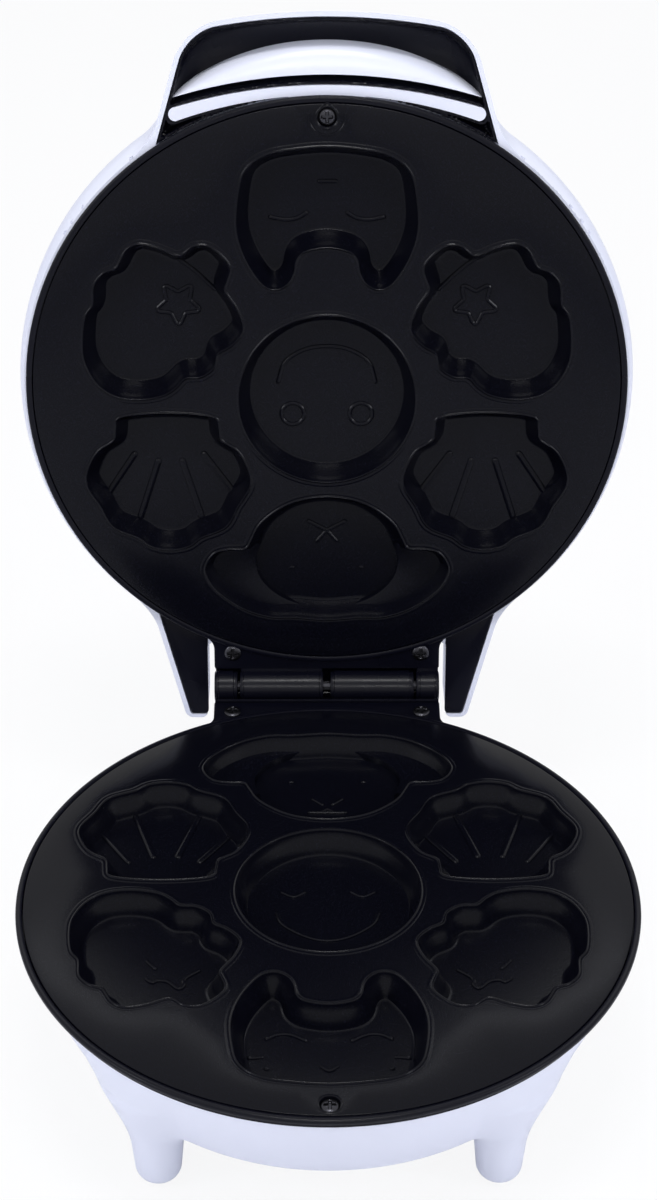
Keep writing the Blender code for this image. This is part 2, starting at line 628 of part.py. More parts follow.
def heater(name):
    """Tubular element under the moulds: a ring with its two ends turned down."""
    mouth = HEATER_MOUTH / 2
    turns = np.linspace(math.pi / 2 + mouth, math.pi / 2 + math.tau - mouth, HEATER_STEPS)
    path = [(HEATER_RING_RADIUS * math.cos(t), HEATER_RING_RADIUS * math.sin(t), HEATER_Z) for t in turns]
    bend = HEATER_TUBE_RADIUS * 2
    for end, at in ((path[0], 0), (path[-1], len(path))):
        inward = Vector((end[0], end[1], 0.0)).normalized() * -bend
        elbow = (end[0] + inward.x, end[1] + inward.y, end[2])
        down = (elbow[0] + inward.x / 2, elbow[1] + inward.y / 2, elbow[2] - HEATER_TUBE_RADIUS)
        tail = (down[0], down[1], down[2] - HEATER_TERMINAL)
        extra = [elbow, down, tail]
        path = list(reversed(extra)) + path if at == 0 else path + extra
    curve = bpy.data.curves.new(name, "CURVE")
    curve.dimensions = "3D"
    curve.bevel_depth = HEATER_TUBE_RADIUS
    curve.bevel_resolution = 1
    curve.use_fill_caps = True
    line = curve.splines.new("POLY")
    line.points.add(len(path) - 1)
    for point, place in zip(line.points, path):
        point.co = (*place, 1.0)
    return settle(add_object(name, curve, tools))


def reflector(name):
    """Thin steel dish under the heater, open in the middle for the thermostat."""
    top, low = REFLECTOR_Z, REFLECTOR_Z - REFLECTOR_THICKNESS
    inner = REFLECTOR_RADIUS - REFLECTOR_THICKNESS
    body = turned(name, [
        (inner, top), (inner, top + REFLECTOR_LIP), (REFLECTOR_RADIUS, top + REFLECTOR_LIP),
        (REFLECTOR_RADIUS, low), (REFLECTOR_HOLE_RADIUS, low), (REFLECTOR_HOLE_RADIUS, top)])
    slots = []
    for side in (-1, 1):
        turn = math.pi / 2 + side * HEATER_MOUTH / 2
        reach = HEATER_RING_RADIUS - 3 * HEATER_TUBE_RADIUS
        place = (reach * math.cos(turn), reach * math.sin(turn))
        slots.append(cylinder(
            "terminal_way", HEATER_TUBE_RADIUS * 2, (*place, top + OVERRUN), (*place, low - OVERRUN)))
    return with_cut(body, *slots)


def thermostat(name):
    """Button thermostat on its mounting flange, against the middle mould's pan."""
    x, y = face_place()
    top = MOULD_BOTTOM - FIT_GAP
    body = turned(name, [
        (0.0, top), (THERMOSTAT_FLANGE, top), (THERMOSTAT_FLANGE, top - REFLECTOR_THICKNESS),
        (THERMOSTAT_RADIUS, top - REFLECTOR_THICKNESS), (THERMOSTAT_RADIUS, top - THERMOSTAT_HEIGHT),
        (0.0, top - THERMOSTAT_HEIGHT)], SMALL_STEPS)
    body.data.transform(Matrix.Translation((x, y, 0.0)))
    return body


def bowl_profile(inset):
    """The bowl's side from its top edge to the middle of its bottom, moved in by a wall."""
    top = BASE_RIM_RADIUS - RIM_OVERHANG - inset
    flat = top * BOWL_BOTTOM_SHARE
    start = -(NECK_DEPTH + FIT_GAP)
    low = -(BOWL_DEPTH - inset)
    points = [(top, start)]
    for k in range(1, DOME_STEPS + 1):
        turn = math.pi / 2 * k / DOME_STEPS
        points.append((flat + (top - flat) * math.cos(turn), start + (low - start) * math.sin(turn)))
    return points + [(0.0, low)]


def leg(spread, angle, side):
    """One leg: round sections that flare out into the bowl above."""
    foot = -(PLATE_HEIGHT - LEG_CLEARANCE)
    rings = []
    top_shares = FRONT_LEG_TOP_SHARES if angle < 0 else REAR_LEG_TOP_SHARES
    for shift, width, drop in top_shares + LEG_SHARES:
        distance = spread + shift * LEG_FOOT_RADIUS
        centre = (side * distance * math.cos(angle), distance * math.sin(angle))
        height = -BOWL_DEPTH + drop * (foot + BOWL_DEPTH)
        rings.append(at_height(circle(width * LEG_FOOT_RADIUS, centre), height))
    return loft("leg", rings)


def leg_places():
    """Each leg's name with its spread, its angle and its side."""
    return {
        "front_left": (LEG_SPREAD, -LEG_ANGLE, -1),
        "front_right": (LEG_SPREAD, -LEG_ANGLE, 1),
        "rear_left": (REAR_LEG_SPREAD, REAR_LEG_ANGLE, -1),
        "rear_right": (REAR_LEG_SPREAD, REAR_LEG_ANGLE, 1)}


def foot_pad(name, spread, angle, side):
    centre = (side * spread * math.cos(angle), spread * math.sin(angle))
    return cylinder(name, PAD_RADIUS, (*centre, -PLATE_HEIGHT + PAD_THICKNESS), (*centre, -PLATE_HEIGHT))


def base_housing(name):
    """White bowl, hollow from above, with its legs, the lug for the hinge and the gland's hole."""
    outside = bowl_profile(0.0)
    body = turned(name, [(0.0, outside[0][1])] + outside)
    for spread, angle, side in leg_places().values():
        body = with_added(body, leg(spread, angle, side))
    block_top = -(BRACKET_DEPTH + FIT_GAP)
    seat = cylinder("gland_boss", GLAND_BOSS_RADIUS, (0.0, HINGE_Y / 2, GLAND_Z), (0.0, GLAND_FACE, GLAND_Z))
    body = with_added(body, hinge_lug(BASE_RIM_RADIUS - RIM_OVERHANG), seat)
    inside = bowl_profile(WALL)
    body = with_cut(body, turned("inside", [(0.0, OVERRUN), (inside[0][0], OVERRUN)] + inside))
    body = with_added(body, screw_boss(BASE_RIM_RADIUS, BASE_RIM_RADIUS - RIM_OVERHANG))
    pocket = bracket_outline(BASE_RIM_RADIUS, FIT_GAP)
    body = with_cut(body, prism("bracket_seat", pocket, OVERRUN, block_top), pilot_holes(BASE_RIM_RADIUS))
    pads = []
    for spread, angle, side in leg_places().values():
        centre = (side * spread * math.cos(angle), spread * math.sin(angle))
        pads.append(cylinder(
            "pad_seat", PAD_RADIUS + FIT_GAP, (*centre, -PLATE_HEIGHT + PAD_THICKNESS + FIT_GAP),
            (*centre, -PLATE_HEIGHT)))
    way = cylinder("gland_way", GLAND_RADIUS + FIT_GAP, (0.0, HINGE_Y / 2, GLAND_Z), (0.0, HINGE_Y, GLAND_Z))
    return with_cut(body, joined_mesh("seats", pads), way)


def cord_gland(name):
    """Rubber bush that the cord would leave by: a flange outside and a tail through the wall."""
    start = GLAND_FACE + FIT_GAP
    body = turned(name, [
        (CORD_BORE_RADIUS, start + GLAND_COLLAR), (GLAND_RADIUS * GLAND_TAPER_SHARE, start + GLAND_COLLAR),
        (GLAND_RADIUS, start + GLAND_FLANGE), (GLAND_FLANGE_RADIUS, start + GLAND_FLANGE),
        (GLAND_FLANGE_RADIUS, start), (GLAND_RADIUS, start), (GLAND_RADIUS, start - GLAND_TAIL),
        (CORD_BORE_RADIUS, start - GLAND_TAIL)], SMALL_STEPS)
    body.data.transform(Matrix.Translation((0.0, 0.0, GLAND_Z)) @ Matrix.Rotation(-math.pi / 2, 4, "X"))
    return body


def dome_profile(inset):
    """The lid's crown from its middle to its edge, moved in by a wall. Heights are closed ones."""
    edge = PLATE_GAP + RIM_HEIGHT + FIT_GAP
    top = PLATE_GAP + LID_HEIGHT - inset
    radius = LID_RADIUS - inset
    waist = PLATE_GAP + LID_HEIGHT * DOME_WAIST_SHARE
    flat = radius * DOME_FLAT_SHARE
    points = [(0.0, top)]
    for k in range(DOME_STEPS + 1):
        turn = math.pi / 2 * (1 - k / DOME_STEPS)
        points.append((flat + (radius - flat) * math.cos(turn), waist + (top - waist) * math.sin(turn)))
    return points + [(LID_RIM_RADIUS + LID_LIP - inset, edge)]


def handle_outline():
    """The handle seen from above: a bowed tip, round corners and sides that widen to the root."""
    root, tip = HANDLE_WIDTH / 2, HANDLE_TIP_WIDTH / 2
    arc = (tip ** 2 + HANDLE_BOW ** 2) / (2 * HANDLE_BOW)
    bow = [(x, -(HANDLE_REACH - arc + math.sqrt(arc ** 2 - x ** 2))) for x in np.linspace(-tip, tip, 7)]
    corners = [(-root, -HANDLE_ROOT_Y), *bow, (root, -HANDLE_ROOT_Y)]
    radii = [HANDLE_CORNER] * 2 + [0.0] * (len(bow) - 2) + [HANDLE_CORNER] * 2
    return spaced(rounded(corners, radii), HANDLE_STEPS)


def handle_half_width(distance):
    """Half the handle's width at a distance from the middle, on its straight sides."""
    root, tip = HANDLE_WIDTH / 2, HANDLE_TIP_WIDTH / 2
    run = HANDLE_REACH - HANDLE_BOW - HANDLE_ROOT_Y
    return root - (root - tip) * (distance - HANDLE_ROOT_Y) / run


def recess_solid(name, inset, near, high, low):
    """The dark recess under the handle, as a solid: the handle's outline moved in, cut off
    along an arc beside the lid's edge."""
    body = prism(name, grown(handle_outline(), -inset), high, low)
    away = cylinder(
        "away", RECESS_ARC, (0.0, RECESS_ARC - near, high + OVERRUN), (0.0, RECESS_ARC - near, low - OVERRUN),
        ARC_STEPS)
    return with_cut(body, away)


def handle_lower_edge():
    return PLATE_GAP + RIM_HEIGHT + FIT_GAP


def handle_liner(name):
    """Dark tray that lines the recess under the handle."""
    low = handle_lower_edge() + FIT_GAP
    high = low + RECESS_DEPTH - 2 * FIT_GAP
    body = recess_solid(name, HANDLE_EDGE + FIT_GAP, RECESS_START + FIT_GAP, high, low)
    hollow = recess_solid(
        "hollow", HANDLE_EDGE + FIT_GAP + LINER_WALL, RECESS_START + FIT_GAP + LINER_WALL,
        high - LINER_WALL, low - OVERRUN)
    return with_cut(body, hollow)


def handle_ledge(name):
    """White crescent in the recess: two arcs that meet at its ends."""
    margin = HANDLE_EDGE + LINER_WALL + 3 * FIT_GAP
    half = handle_half_width(LEDGE_START) - margin
    near_drop = RECESS_ARC - math.sqrt(RECESS_ARC ** 2 - half ** 2)
    half = handle_half_width(LEDGE_START - near_drop) - margin
    reach = LEDGE_END - LEDGE_START + near_drop
    far_arc = (half ** 2 + reach ** 2) / (2 * reach)
    turns = np.linspace(-1.0, 1.0, 17)
    near = [(x, -(LEDGE_START - RECESS_ARC + math.sqrt(RECESS_ARC ** 2 - x ** 2))) for x in turns * half]
    far = [(x, -(LEDGE_END - far_arc + math.sqrt(far_arc ** 2 - x ** 2))) for x in turns[1:-1] * half]
    outline = anticlockwise(np.array(near + far[::-1]))
    low = handle_lower_edge() + LEDGE_SINK
    high = handle_lower_edge() + RECESS_DEPTH - LINER_WALL - 2 * FIT_GAP
    return prism(name, outline, high, low)


def horn_outline(side):
    corners = [
        (side * HORN_INNER_X, HORN_ROOT_Y), (side * HORN_OUTER_X, HORN_ROOT_Y),
        (side * HORN_TIP_X, HORN_TIP_Y), (side * HORN_INNER_X, HORN_TIP_Y)]
    return rounded(corners, [HORN_CORNER] * 4, 3)


def horn(side):
    """One horn: straight below, rounded off above."""
    outline = spaced(horn_outline(side), HORN_STEPS)
    low = handle_lower_edge()
    high = low + HORN_HEIGHT
    rings = [at_height(grown(outline, -inset * HORN_CORNER), high - drop * HORN_CORNER)
             for inset, drop in HORN_TOP_SHARES]
    return loft("horn", rings + [at_height(outline, low)])


def horn_outer_x(y):
    """The horn's outer side at a distance behind the middle."""
    return HORN_OUTER_X - (HORN_OUTER_X - HORN_TIP_X) * (y - HORN_ROOT_Y) / (HORN_TIP_Y - HORN_ROOT_Y)


def horn_cover_solid(name, side, inset, high, low):
    """The horn's outline moved in, cut off along the lid's round edge."""
    inner, tip = HORN_INNER_X + inset, HORN_TIP_Y - inset
    corners = np.array([
        (side * inner, HORN_ROOT_Y), (side * (horn_outer_x(HORN_ROOT_Y) - inset), HORN_ROOT_Y),
        (side * (horn_outer_x(tip) - inset), tip), (side * inner, tip)])
    body = prism(name, anticlockwise(corners), high, low)
    edge = LID_RADIUS + inset - HORN_EDGE + FIT_GAP
    return with_cut(body, cylinder(
        "away", edge, (0.0, 0.0, high + OVERRUN), (0.0, 0.0, low - OVERRUN), ARC_STEPS))


def lid_housing(name):
    """White domed shell with the handle and the horns, hollow from below."""
    outside = dome_profile(0.0)
    body = turned(name, outside + [(0.0, outside[-1][1])])
    outline = handle_outline()
    low = handle_lower_edge()
    high = low + HANDLE_HEIGHT
    rings = [at_height(grown(outline, -inset * HANDLE_CORNER), high - drop * HANDLE_CORNER)
             for inset, drop in HANDLE_TOP_SHARES]
    body = with_added(body, loft("handle", rings + [at_height(outline, low)]))
    for side in (-1, 1):
        body = with_added(body, horn(side))
    body = with_added(body, upside_down(hinge_lug(LID_RADIUS)))
    inside = dome_profile(WALL)
    body = with_cut(body, turned("inside", inside + [(inside[-1][0], low - OVERRUN), (0.0, low - OVERRUN)]))
    body = with_added(body, upside_down(screw_boss(LID_RIM_RADIUS, LID_RADIUS)))
    pocket = bracket_outline(LID_RIM_RADIUS, FIT_GAP)
    seat = prism("bracket_seat", pocket, OVERRUN, -(BRACKET_DEPTH + FIT_GAP))
    body = with_cut(body, upside_down(seat), upside_down(pilot_holes(LID_RIM_RADIUS)))
    body = with_cut(body, recess_solid(
        "recess", HANDLE_EDGE, RECESS_START, low + RECESS_DEPTH, low - OVERRUN))
    for side in (-1, 1):
        body = with_cut(body, horn_cover_solid(
            "cover_seat", side, HORN_EDGE, low + HORN_COVER + FIT_GAP, low - OVERRUN))
    for side in (-1, 1):
        x = side * LAMP_SPACING / 2
        body = with_cut(body, cylinder(
            "lamp_way", LAMP_RADIUS + FIT_GAP, (x, LAMP_Y, LID_HEIGHT / 2), (x, LAMP_Y, LID_HEIGHT * 2)))
    return body


def horn_cover(name, side):
    low = handle_lower_edge()
    return horn_cover_solid(name, side, HORN_EDGE + FIT_GAP, low + HORN_COVER, low)


def lamp(name, side):
    """Round indicator lamp in the lid's crown, with a domed end."""
    crown = dome_profile(0.0)
    surface = np.interp(-LAMP_Y, [r for r, _ in crown[:-1]], [z for _, z in crown[:-1]])
    top = surface + LAMP_PROUD
    dome = LAMP_RADIUS / 3
    body = turned(name, [
        (0.0, top), (LAMP_RADIUS - dome, top - dome / 4), (LAMP_RADIUS, top - dome),
        (LAMP_RADIUS, top - LAMP_HEIGHT), (0.0, top - LAMP_HEIGHT)], SMALL_STEPS)
    body.data.transform(Matrix.Translation((side * LAMP_SPACING / 2, LAMP_Y, 0.0)))
    return body


def hinge_pin(name):
    half = BRACKET_WIDTH / 2 - FIT_GAP
    return cylinder(name, PIN_RADIUS, (-half, HINGE_Y, HINGE_Z), (half, HINGE_Y, HINGE_Z))


def finish_piece(thing, carrier, material):
    """Give a piece its finish, shade it and hang it on what carries it."""
    thing.data.materials.clear()
    thing.data.materials.append(material)
    thing.data.shade_smooth()
    thing.data.set_sharp_from_angle(angle=math.radians(35.0))
    tools.objects.unlink(thing)
    pieces.objects.link(thing)
    thing.parent = carrier
    thing.location = -Vector(carrier["drawn_at"])


def make_carrier(name, drawn_at, parent, turn):
    """An empty that carries a body's pieces, on its joint's axis."""
    carrier = add_object(name, None, pieces)
    carrier.parent = parent
    carrier["drawn_at"] = drawn_at
    carrier.location = drawn_at
    carrier.rotation_euler = (turn, 0.0, 0.0)
    return carrier


def world_corners():
    bpy.context.view_layer.update()
    points = [thing.matrix_world @ vertex.co for thing in pieces.objects if thing.type == "MESH"
              for vertex in thing.data.vertices]
    return np.min(points, axis=0), np.max(points, axis=0)


fresh_scene()
pieces = make_collection("waffle_maker")
tools = make_collection("cutters")

white = paint("white_plastic", (0.80, 0.81, 0.88), 0.22)
black = paint("black_plastic", (0.012, 0.012, 0.016), 0.30)
coating = paint("nonstick_coating", (0.010, 0.010, 0.013), 0.42)
rubber = paint("rubber", (0.03, 0.03, 0.035), 0.8)
steel = paint("screw_steel", (0.09, 0.09, 0.10), 0.35, 1.0)
tube_steel = paint("heater_steel", (0.35, 0.34, 0.33), 0.45, 1.0)
sheet_steel = paint("reflector_steel", (0.62, 0.63, 0.65), 0.3, 1.0)
ceramic = paint("thermostat_body", (0.55, 0.50, 0.42), 0.6)
red = paint("red_lens", (0.55, 0.02, 0.015), 0.15)
green = paint("green_lens", (0.02, 0.40, 0.06), 0.15)

stand = make_carrier("stand", (0.0, 0.0, 0.0), None, 0.0)
base = make_carrier("base", (0.0, 0.0, 0.0), stand, 0.0)
lid = make_carrier("lid", (0.0, HINGE_Y, HINGE_Z), stand, -OPEN_ANGLE)

finish_piece(base_housing("base_housing"), base, white)
finish_piece(frame_ring("base_frame", BASE_RIM_RADIUS, "base"), base, black)
finish_piece(plate("base_plate", BASE_RIM_RADIUS), base, coating)
finish_piece(heater("base_heater"), base, tube_steel)
finish_piece(reflector("base_reflector"), base, sheet_steel)
finish_piece(thermostat("base_thermostat"), base, ceramic)
for label, spot in screw_places(BASE_RIM_RADIUS).items():
    finish_piece(screw("base_screw_" + label, spot), base, steel)
for label, (spread, angle, side) in leg_places().items():
    finish_piece(foot_pad("foot_pad_" + label, spread, angle, side), base, rubber)
finish_piece(cord_gland("cord_gland"), base, rubber)
finish_piece(hinge_pin("hinge_pin"), base, steel)

finish_piece(lid_housing("lid_housing"), lid, white)
finish_piece(upside_down(frame_ring("lid_frame", LID_RIM_RADIUS, "lid")), lid, black)
finish_piece(upside_down(plate("lid_plate", LID_RIM_RADIUS)), lid, coating)
finish_piece(upside_down(heater("lid_heater")), lid, tube_steel)
finish_piece(upside_down(reflector("lid_reflector")), lid, sheet_steel)
finish_piece(upside_down(thermostat("lid_thermostat")), lid, ceramic)
for label, spot in screw_places(LID_RIM_RADIUS).items():
    finish_piece(upside_down(screw("lid_screw_" + label, spot)), lid, steel)
finish_piece(handle_liner("handle_liner"), lid, black)
finish_piece(handle_ledge("handle_ledge"), lid, white)
for label, side in (("left", -1), ("right", 1)):
    finish_piece(horn_cover("horn_cover_" + label, side), lid, black)
finish_piece(lamp("power_lamp", -1), lid, red)
finish_piece(lamp("ready_lamp", 1), lid, green)

low_corner, high_corner = world_corners()
stand.location = (0.0, -(low_corner[1] + high_corner[1]) / 2, PLATE_HEIGHT)
low_corner, high_corner = world_corners()
print("box from", [round(v, 5) for v in low_corner], "to", [round(v, 5) for v in high_corner])
print("hinge at", [round(v, 5) for v in lid.matrix_world.translation])
faces = [face for thing in pieces.objects if thing.type == "MESH" for face in thing.data.polygons]
print("triangles", sum(len(face.vertices) - 2 for face in faces))
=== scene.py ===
import json
import math

import bmesh
import bpy
import numpy as np
from mathutils import Matrix, Vector


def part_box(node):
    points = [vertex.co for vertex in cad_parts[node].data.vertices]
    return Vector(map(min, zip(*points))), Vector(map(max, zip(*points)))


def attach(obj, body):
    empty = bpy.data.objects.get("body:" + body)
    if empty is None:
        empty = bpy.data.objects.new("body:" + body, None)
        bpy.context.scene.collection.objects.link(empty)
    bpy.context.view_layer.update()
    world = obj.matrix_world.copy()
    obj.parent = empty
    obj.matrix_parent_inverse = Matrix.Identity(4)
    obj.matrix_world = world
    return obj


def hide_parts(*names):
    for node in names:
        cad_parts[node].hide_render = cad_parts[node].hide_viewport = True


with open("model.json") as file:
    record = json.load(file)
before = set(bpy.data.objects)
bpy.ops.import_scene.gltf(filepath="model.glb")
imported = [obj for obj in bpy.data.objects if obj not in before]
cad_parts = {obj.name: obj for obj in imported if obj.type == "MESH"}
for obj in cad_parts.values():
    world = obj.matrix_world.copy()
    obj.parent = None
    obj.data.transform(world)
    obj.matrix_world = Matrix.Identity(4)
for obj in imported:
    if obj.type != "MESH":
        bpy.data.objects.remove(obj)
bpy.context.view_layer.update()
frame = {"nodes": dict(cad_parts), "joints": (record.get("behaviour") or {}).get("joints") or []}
scene = bpy.context.scene

mm = 0.001
joint = frame["joints"][0]
hinge = np.array(joint["pos_m"]) / mm
openAngle = math.radians(joint["range_deg"][1])
plateLow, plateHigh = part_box("base_plate")
faceCentre = np.array([0.0, (plateLow.y + plateHigh.y) / 2, plateHigh.z]) / mm
hingeY, hingeZ = hinge[1] - faceCentre[1], hinge[2] - faceCentre[2]
fitGap = 0.3
plateGap = 1.0
roundSteps = 240


# From the closed frame to the part's own, in metres. The lid is turned open about the hinge.
def basePlace(points):
    return (points + faceCentre) * mm


def lidPlace(points):
    c, s = math.cos(-openAngle), math.sin(-openAngle)
    turn = np.array([[1, 0, 0], [0, c, -s], [0, s, c]])
    return ((points - [0, hingeY, hingeZ]) @ turn.T + hinge) * mm


# Mirrored about the plane between the two plates, for what the lid shares with the base
def mirrored(shells):
    return [(points * [1, 1, -1] + [0, 0, plateGap], faces) for points, faces in shells]


def moved(shell, offset):
    return shell[0] + np.asarray(offset, float), shell[1]


# Outlines in the plates' plane
def spaced(points, count):  # as many points, evenly along a closed outline
    loop = np.vstack([points, points[:1]])
    along = np.concatenate([[0.0], np.cumsum(np.linalg.norm(np.diff(loop, axis=0), axis=1))])
    wanted = np.linspace(0.0, along[-1], count, endpoint=False)
    return np.column_stack([np.interp(wanted, along, loop[:, i]) for i in range(2)])


def anticlockwise(points):
    x, y = points[:, 0], points[:, 1]
    return points if np.sum(x * np.roll(y, -1) - np.roll(x, -1) * y) > 0 else points[::-1]


# Catmull-Rom through the corners: p(t) is half of 2b + (c-a)t + (2a-5b+4c-d)t2 + (3b-a-3c+d)t3
def smoothOutline(corners, count, fineness=16):
    corners = np.asarray(corners, float)
    a, b, c, d = (np.roll(corners, shift, axis=0)[:, None, :] for shift in (1, 0, -1, -2))
    t = np.linspace(0.0, 1.0, fineness, endpoint=False)[None, :, None]
    curve = 0.5 * (2 * b + (c - a) * t + (2 * a - 5 * b + 4 * c - d) * t ** 2
                   + (3 * b - a - 3 * c + d) * t ** 3)
    return anticlockwise(spaced(curve.reshape(-1, 2), count))


# Each point moved along the outline's normal in steps of half a millimetre, evenly spaced after each
def grown(points, distance):
    steps = max(1, math.ceil(abs(distance) / 0.5))
    for step in range(steps):
        along = np.roll(points, -1, axis=0) - np.roll(points, 1, axis=0)
        outward = np.column_stack([along[:, 1], -along[:, 0]])
        outward /= np.linalg.norm(outward, axis=1)[:, None]
        points = spaced(points + outward * distance / steps, len(points))
    return points


def circle(radius, centre=(0.0, 0.0), steps=roundSteps):
    turns = np.linspace(0.0, math.tau, steps, endpoint=False)
    return np.column_stack([centre[0] + radius * np.cos(turns), centre[1] + radius * np.sin(turns)])


# A polygon with an arc of a radius in each corner, met by its two sides as tangents
def roundCorners(corners, radii, steps=8):
    corners = np.asarray(corners, float)
    points = []
    for before, corner, after, radius in zip(
            np.roll(corners, 1, axis=0), corners, np.roll(corners, -1, axis=0), radii):
        if not radius:
            points.append(corner[None])
            continue
        toLast = (before - corner) / np.linalg.norm(before - corner)
        toNext = (after - corner) / np.linalg.norm(after - corner)
        half = math.acos(np.clip(toLast @ toNext, -1, 1)) / 2
        middle = corner + (toLast + toNext) / np.linalg.norm(toLast + toNext) * radius / math.sin(half)
        start = corner + toLast * radius / math.tan(half) - middle
        end = corner + toNext * radius / math.tan(half) - middle
        sweep = math.atan2(start[0] * end[1] - start[1] * end[0], start @ end)
        turns = math.atan2(start[1], start[0]) + np.linspace(0, sweep, steps + 1)
        points.append(middle + radius * np.column_stack([np.cos(turns), np.sin(turns)]))
    return anticlockwise(np.vstack(points))


def atHeight(outline, height):
    return np.column_stack([outline, np.full(len(outline), float(height))])


# Shells: points and a list of face arrays
def lattice(rows, columns, closedRows=False, start=0):  # quads between rings of as many points
    row = np.arange(rows if closedRows else rows - 1)[:, None]
    column = np.arange(columns)[None, :]
    below, beside = (row + 1) % rows, (column + 1) % columns
    corners = [row * columns + column, below * columns + column, below * columns + beside, row * columns + beside]
    return np.stack(corners, -1).reshape(-1, 4) + start


def ringShell(rings, capFirst=True, capLast=True):
    count = len(rings[0])
    faces = [lattice(len(rings), count)]
    if capFirst:
        faces.append(np.arange(count)[None])
    if capLast:
        faces.append(np.arange(count)[None, ::-1] + (len(rings) - 1) * count)
    return np.vstack(rings), faces


# A flat form: the outline at both faces, with its edges rounded to a quarter circle
def slab(outline, high, low, edge=0.5, lowEdge=0.0, steps=3):
    rings = []
    for k in range(steps + 1):
        turn = math.pi / 2 * k / steps
        rings.append(atHeight(grown(outline, edge * (math.sin(turn) - 1)) if edge else outline,
                              high - edge * (1 - math.cos(turn))))
    for k in range(steps + 1):
        turn = math.pi / 2 * k / steps
        rings.append(atHeight(grown(outline, lowEdge * (math.cos(turn) - 1)) if lowEdge else outline,
                              low + lowEdge * (1 - math.sin(turn))))
    return ringShell(rings)


# A profile of (radius, height) turned about an axis: x = r cos t, y = r sin t, z = h
def turned(profile, steps=roundSteps, axis="z", centre=(0.0, 0.0, 0.0)):
    profile = np.asarray(profile, float)
    turns = np.linspace(0.0, math.tau, steps, endpoint=False)[None, :]
    radius, height = profile[:, :1], profile[:, 1:]
    x, y, z = radius * np.cos(turns), radius * np.sin(turns), height + 0 * turns
    order = {"z": (x, y, z), "x": (z, x, y), "y": (y, z, x)}[axis]
    points = np.stack(order, -1).reshape(-1, 3) + centre
    return points, [lattice(len(profile), steps, closedRows=profile[0, 0] > 0 and profile[-1, 0] > 0)]


# The flat area between loops in one plane, with the inner loops as its holes
def fillBetween(loops):
    form = bmesh.new()
    edges = []
    for loop in loops:
        verts = [form.verts.new(point) for point in loop]
        edges += [form.edges.new((verts[i - 1], verts[i])) for i in range(len(verts))]
    form.verts.index_update()
    bmesh.ops.triangle_fill(form, use_beauty=True, edges=edges)
    points = np.array([vert.co[:] for vert in form.verts])
    faces = np.array([[vert.index for vert in face.verts] for face in form.faces])
    form.free()
    return points, [faces]


# Skinned fields. Rounded joins: a fillet of radius r where two forms meet, or a rounded
# corner where one trims the other, as the distance to a quarter circle between the two fields
def roundMin(a, b, r):
    return np.maximum(r, np.minimum(a, b)) - np.hypot(np.maximum(r - a, 0), np.maximum(r - b, 0))


def roundMax(a, b, r):
    return np.minimum(-r, np.maximum(a, b)) + np.hypot(np.maximum(r + a, 0), np.maximum(r + b, 0))


# Surface nets: one point in each cell that the surface crosses, in the middle of the crossings
# on its edges, and a quad round each crossed edge. Each point then slides down the field's
# slope until the field is zero there.
def skin(field, low, high, cell):
    counts = np.ceil((np.array(high) - low) / cell).astype(int) + 1
    axes = [low[i] + cell * np.arange(counts[i]) for i in range(3)]
    grid = np.stack(np.meshgrid(*axes, indexing="ij"), -1)
    values = field(grid)
    inside = values < 0
    total = np.zeros((*(counts - 1), 3))
    number = np.zeros(counts - 1)
    edges = []
    for axis in range(3):
        near = [slice(None)] * 3
        far = [slice(None)] * 3
        near[axis], far[axis] = slice(0, -1), slice(1, None)
        near, far = tuple(near), tuple(far)
        crossed = inside[near] != inside[far]
        share = np.where(crossed, values[near] / np.where(crossed, values[near] - values[far], 1), 0)
        point = grid[near].copy()
        point[..., axis] += share * cell
        others = [i for i in range(3) if i != axis]
        for first in (0, 1):
            for second in (0, 1):
                part = [slice(None)] * 3
                part[others[0]] = slice(first, first + counts[others[0]] - 1)
                part[others[1]] = slice(second, second + counts[others[1]] - 1)
                part = tuple(part)
                total += np.where(crossed[part], 1.0, 0.0)[..., None] * point[part]
                number += crossed[part]
        edges.append((others, crossed, inside[near]))
    index = np.full(number.shape, -1)
    used = number > 0
    index[used] = np.arange(used.sum())
    points = total[used] / number[used][:, None]
    faces = []
    for axis, (others, crossed, starts) in enumerate(edges):
        place = np.argwhere(crossed)
        u, v = others
        keep = (place[:, u] > 0) & (place[:, v] > 0) & (place[:, u] < counts[u] - 1) & (place[:, v] < counts[v] - 1)
        place = place[keep]
        corners = []
        for du, dv in ((1, 1), (0, 1), (0, 0), (1, 0)):
            at = place.copy()
            at[:, u] -= du
            at[:, v] -= dv
            corners.append(index[tuple(at.T)])
        quads = np.stack(corners, -1)
        turn = starts[tuple(place.T)] ^ (axis == 1)
        quads[~turn] = quads[~turn][:, ::-1]
        faces.append(quads)
    small = cell * 0.02
    for step in range(4):
        value = field(points)
        slope = np.stack([(field(points + offset) - field(points - offset)) / (2 * small)
                          for offset in np.eye(3) * small], -1)
        length = np.maximum(np.sum(slope ** 2, -1), 0.25)
        points = points - slope * np.clip(value / length, -cell / 2, cell / 2)[:, None]
    return points, [np.vstack(faces)]


def toMesh(name, shells):
    points, faces, start = [], [], 0
    for shellPoints, shellFaces in shells:
        points.append(shellPoints)
        for group in shellFaces:
            faces += (group + start).tolist() if isinstance(group, np.ndarray) else [
                [i + start for i in face] for face in group]
        start += len(shellPoints)
    mesh = bpy.data.meshes.new(name)
    mesh.from_pydata(np.vstack(points), [], faces)
    return mesh


def toShell(mesh):
    points = np.empty(len(mesh.vertices) * 3)
    mesh.vertices.foreach_get("co", points)
    return points.reshape(-1, 3), [[list(face.vertices) for face in mesh.polygons]]


# A wide block between two heights, which cuts a shell off flat
def halfSpace(low, high):
    corners = np.array([(-200.0, -200.0), (200.0, -200.0), (200.0, 200.0), (-200.0, 200.0)])
    return ringShell([atHeight(corners, high), atHeight(corners, low)])


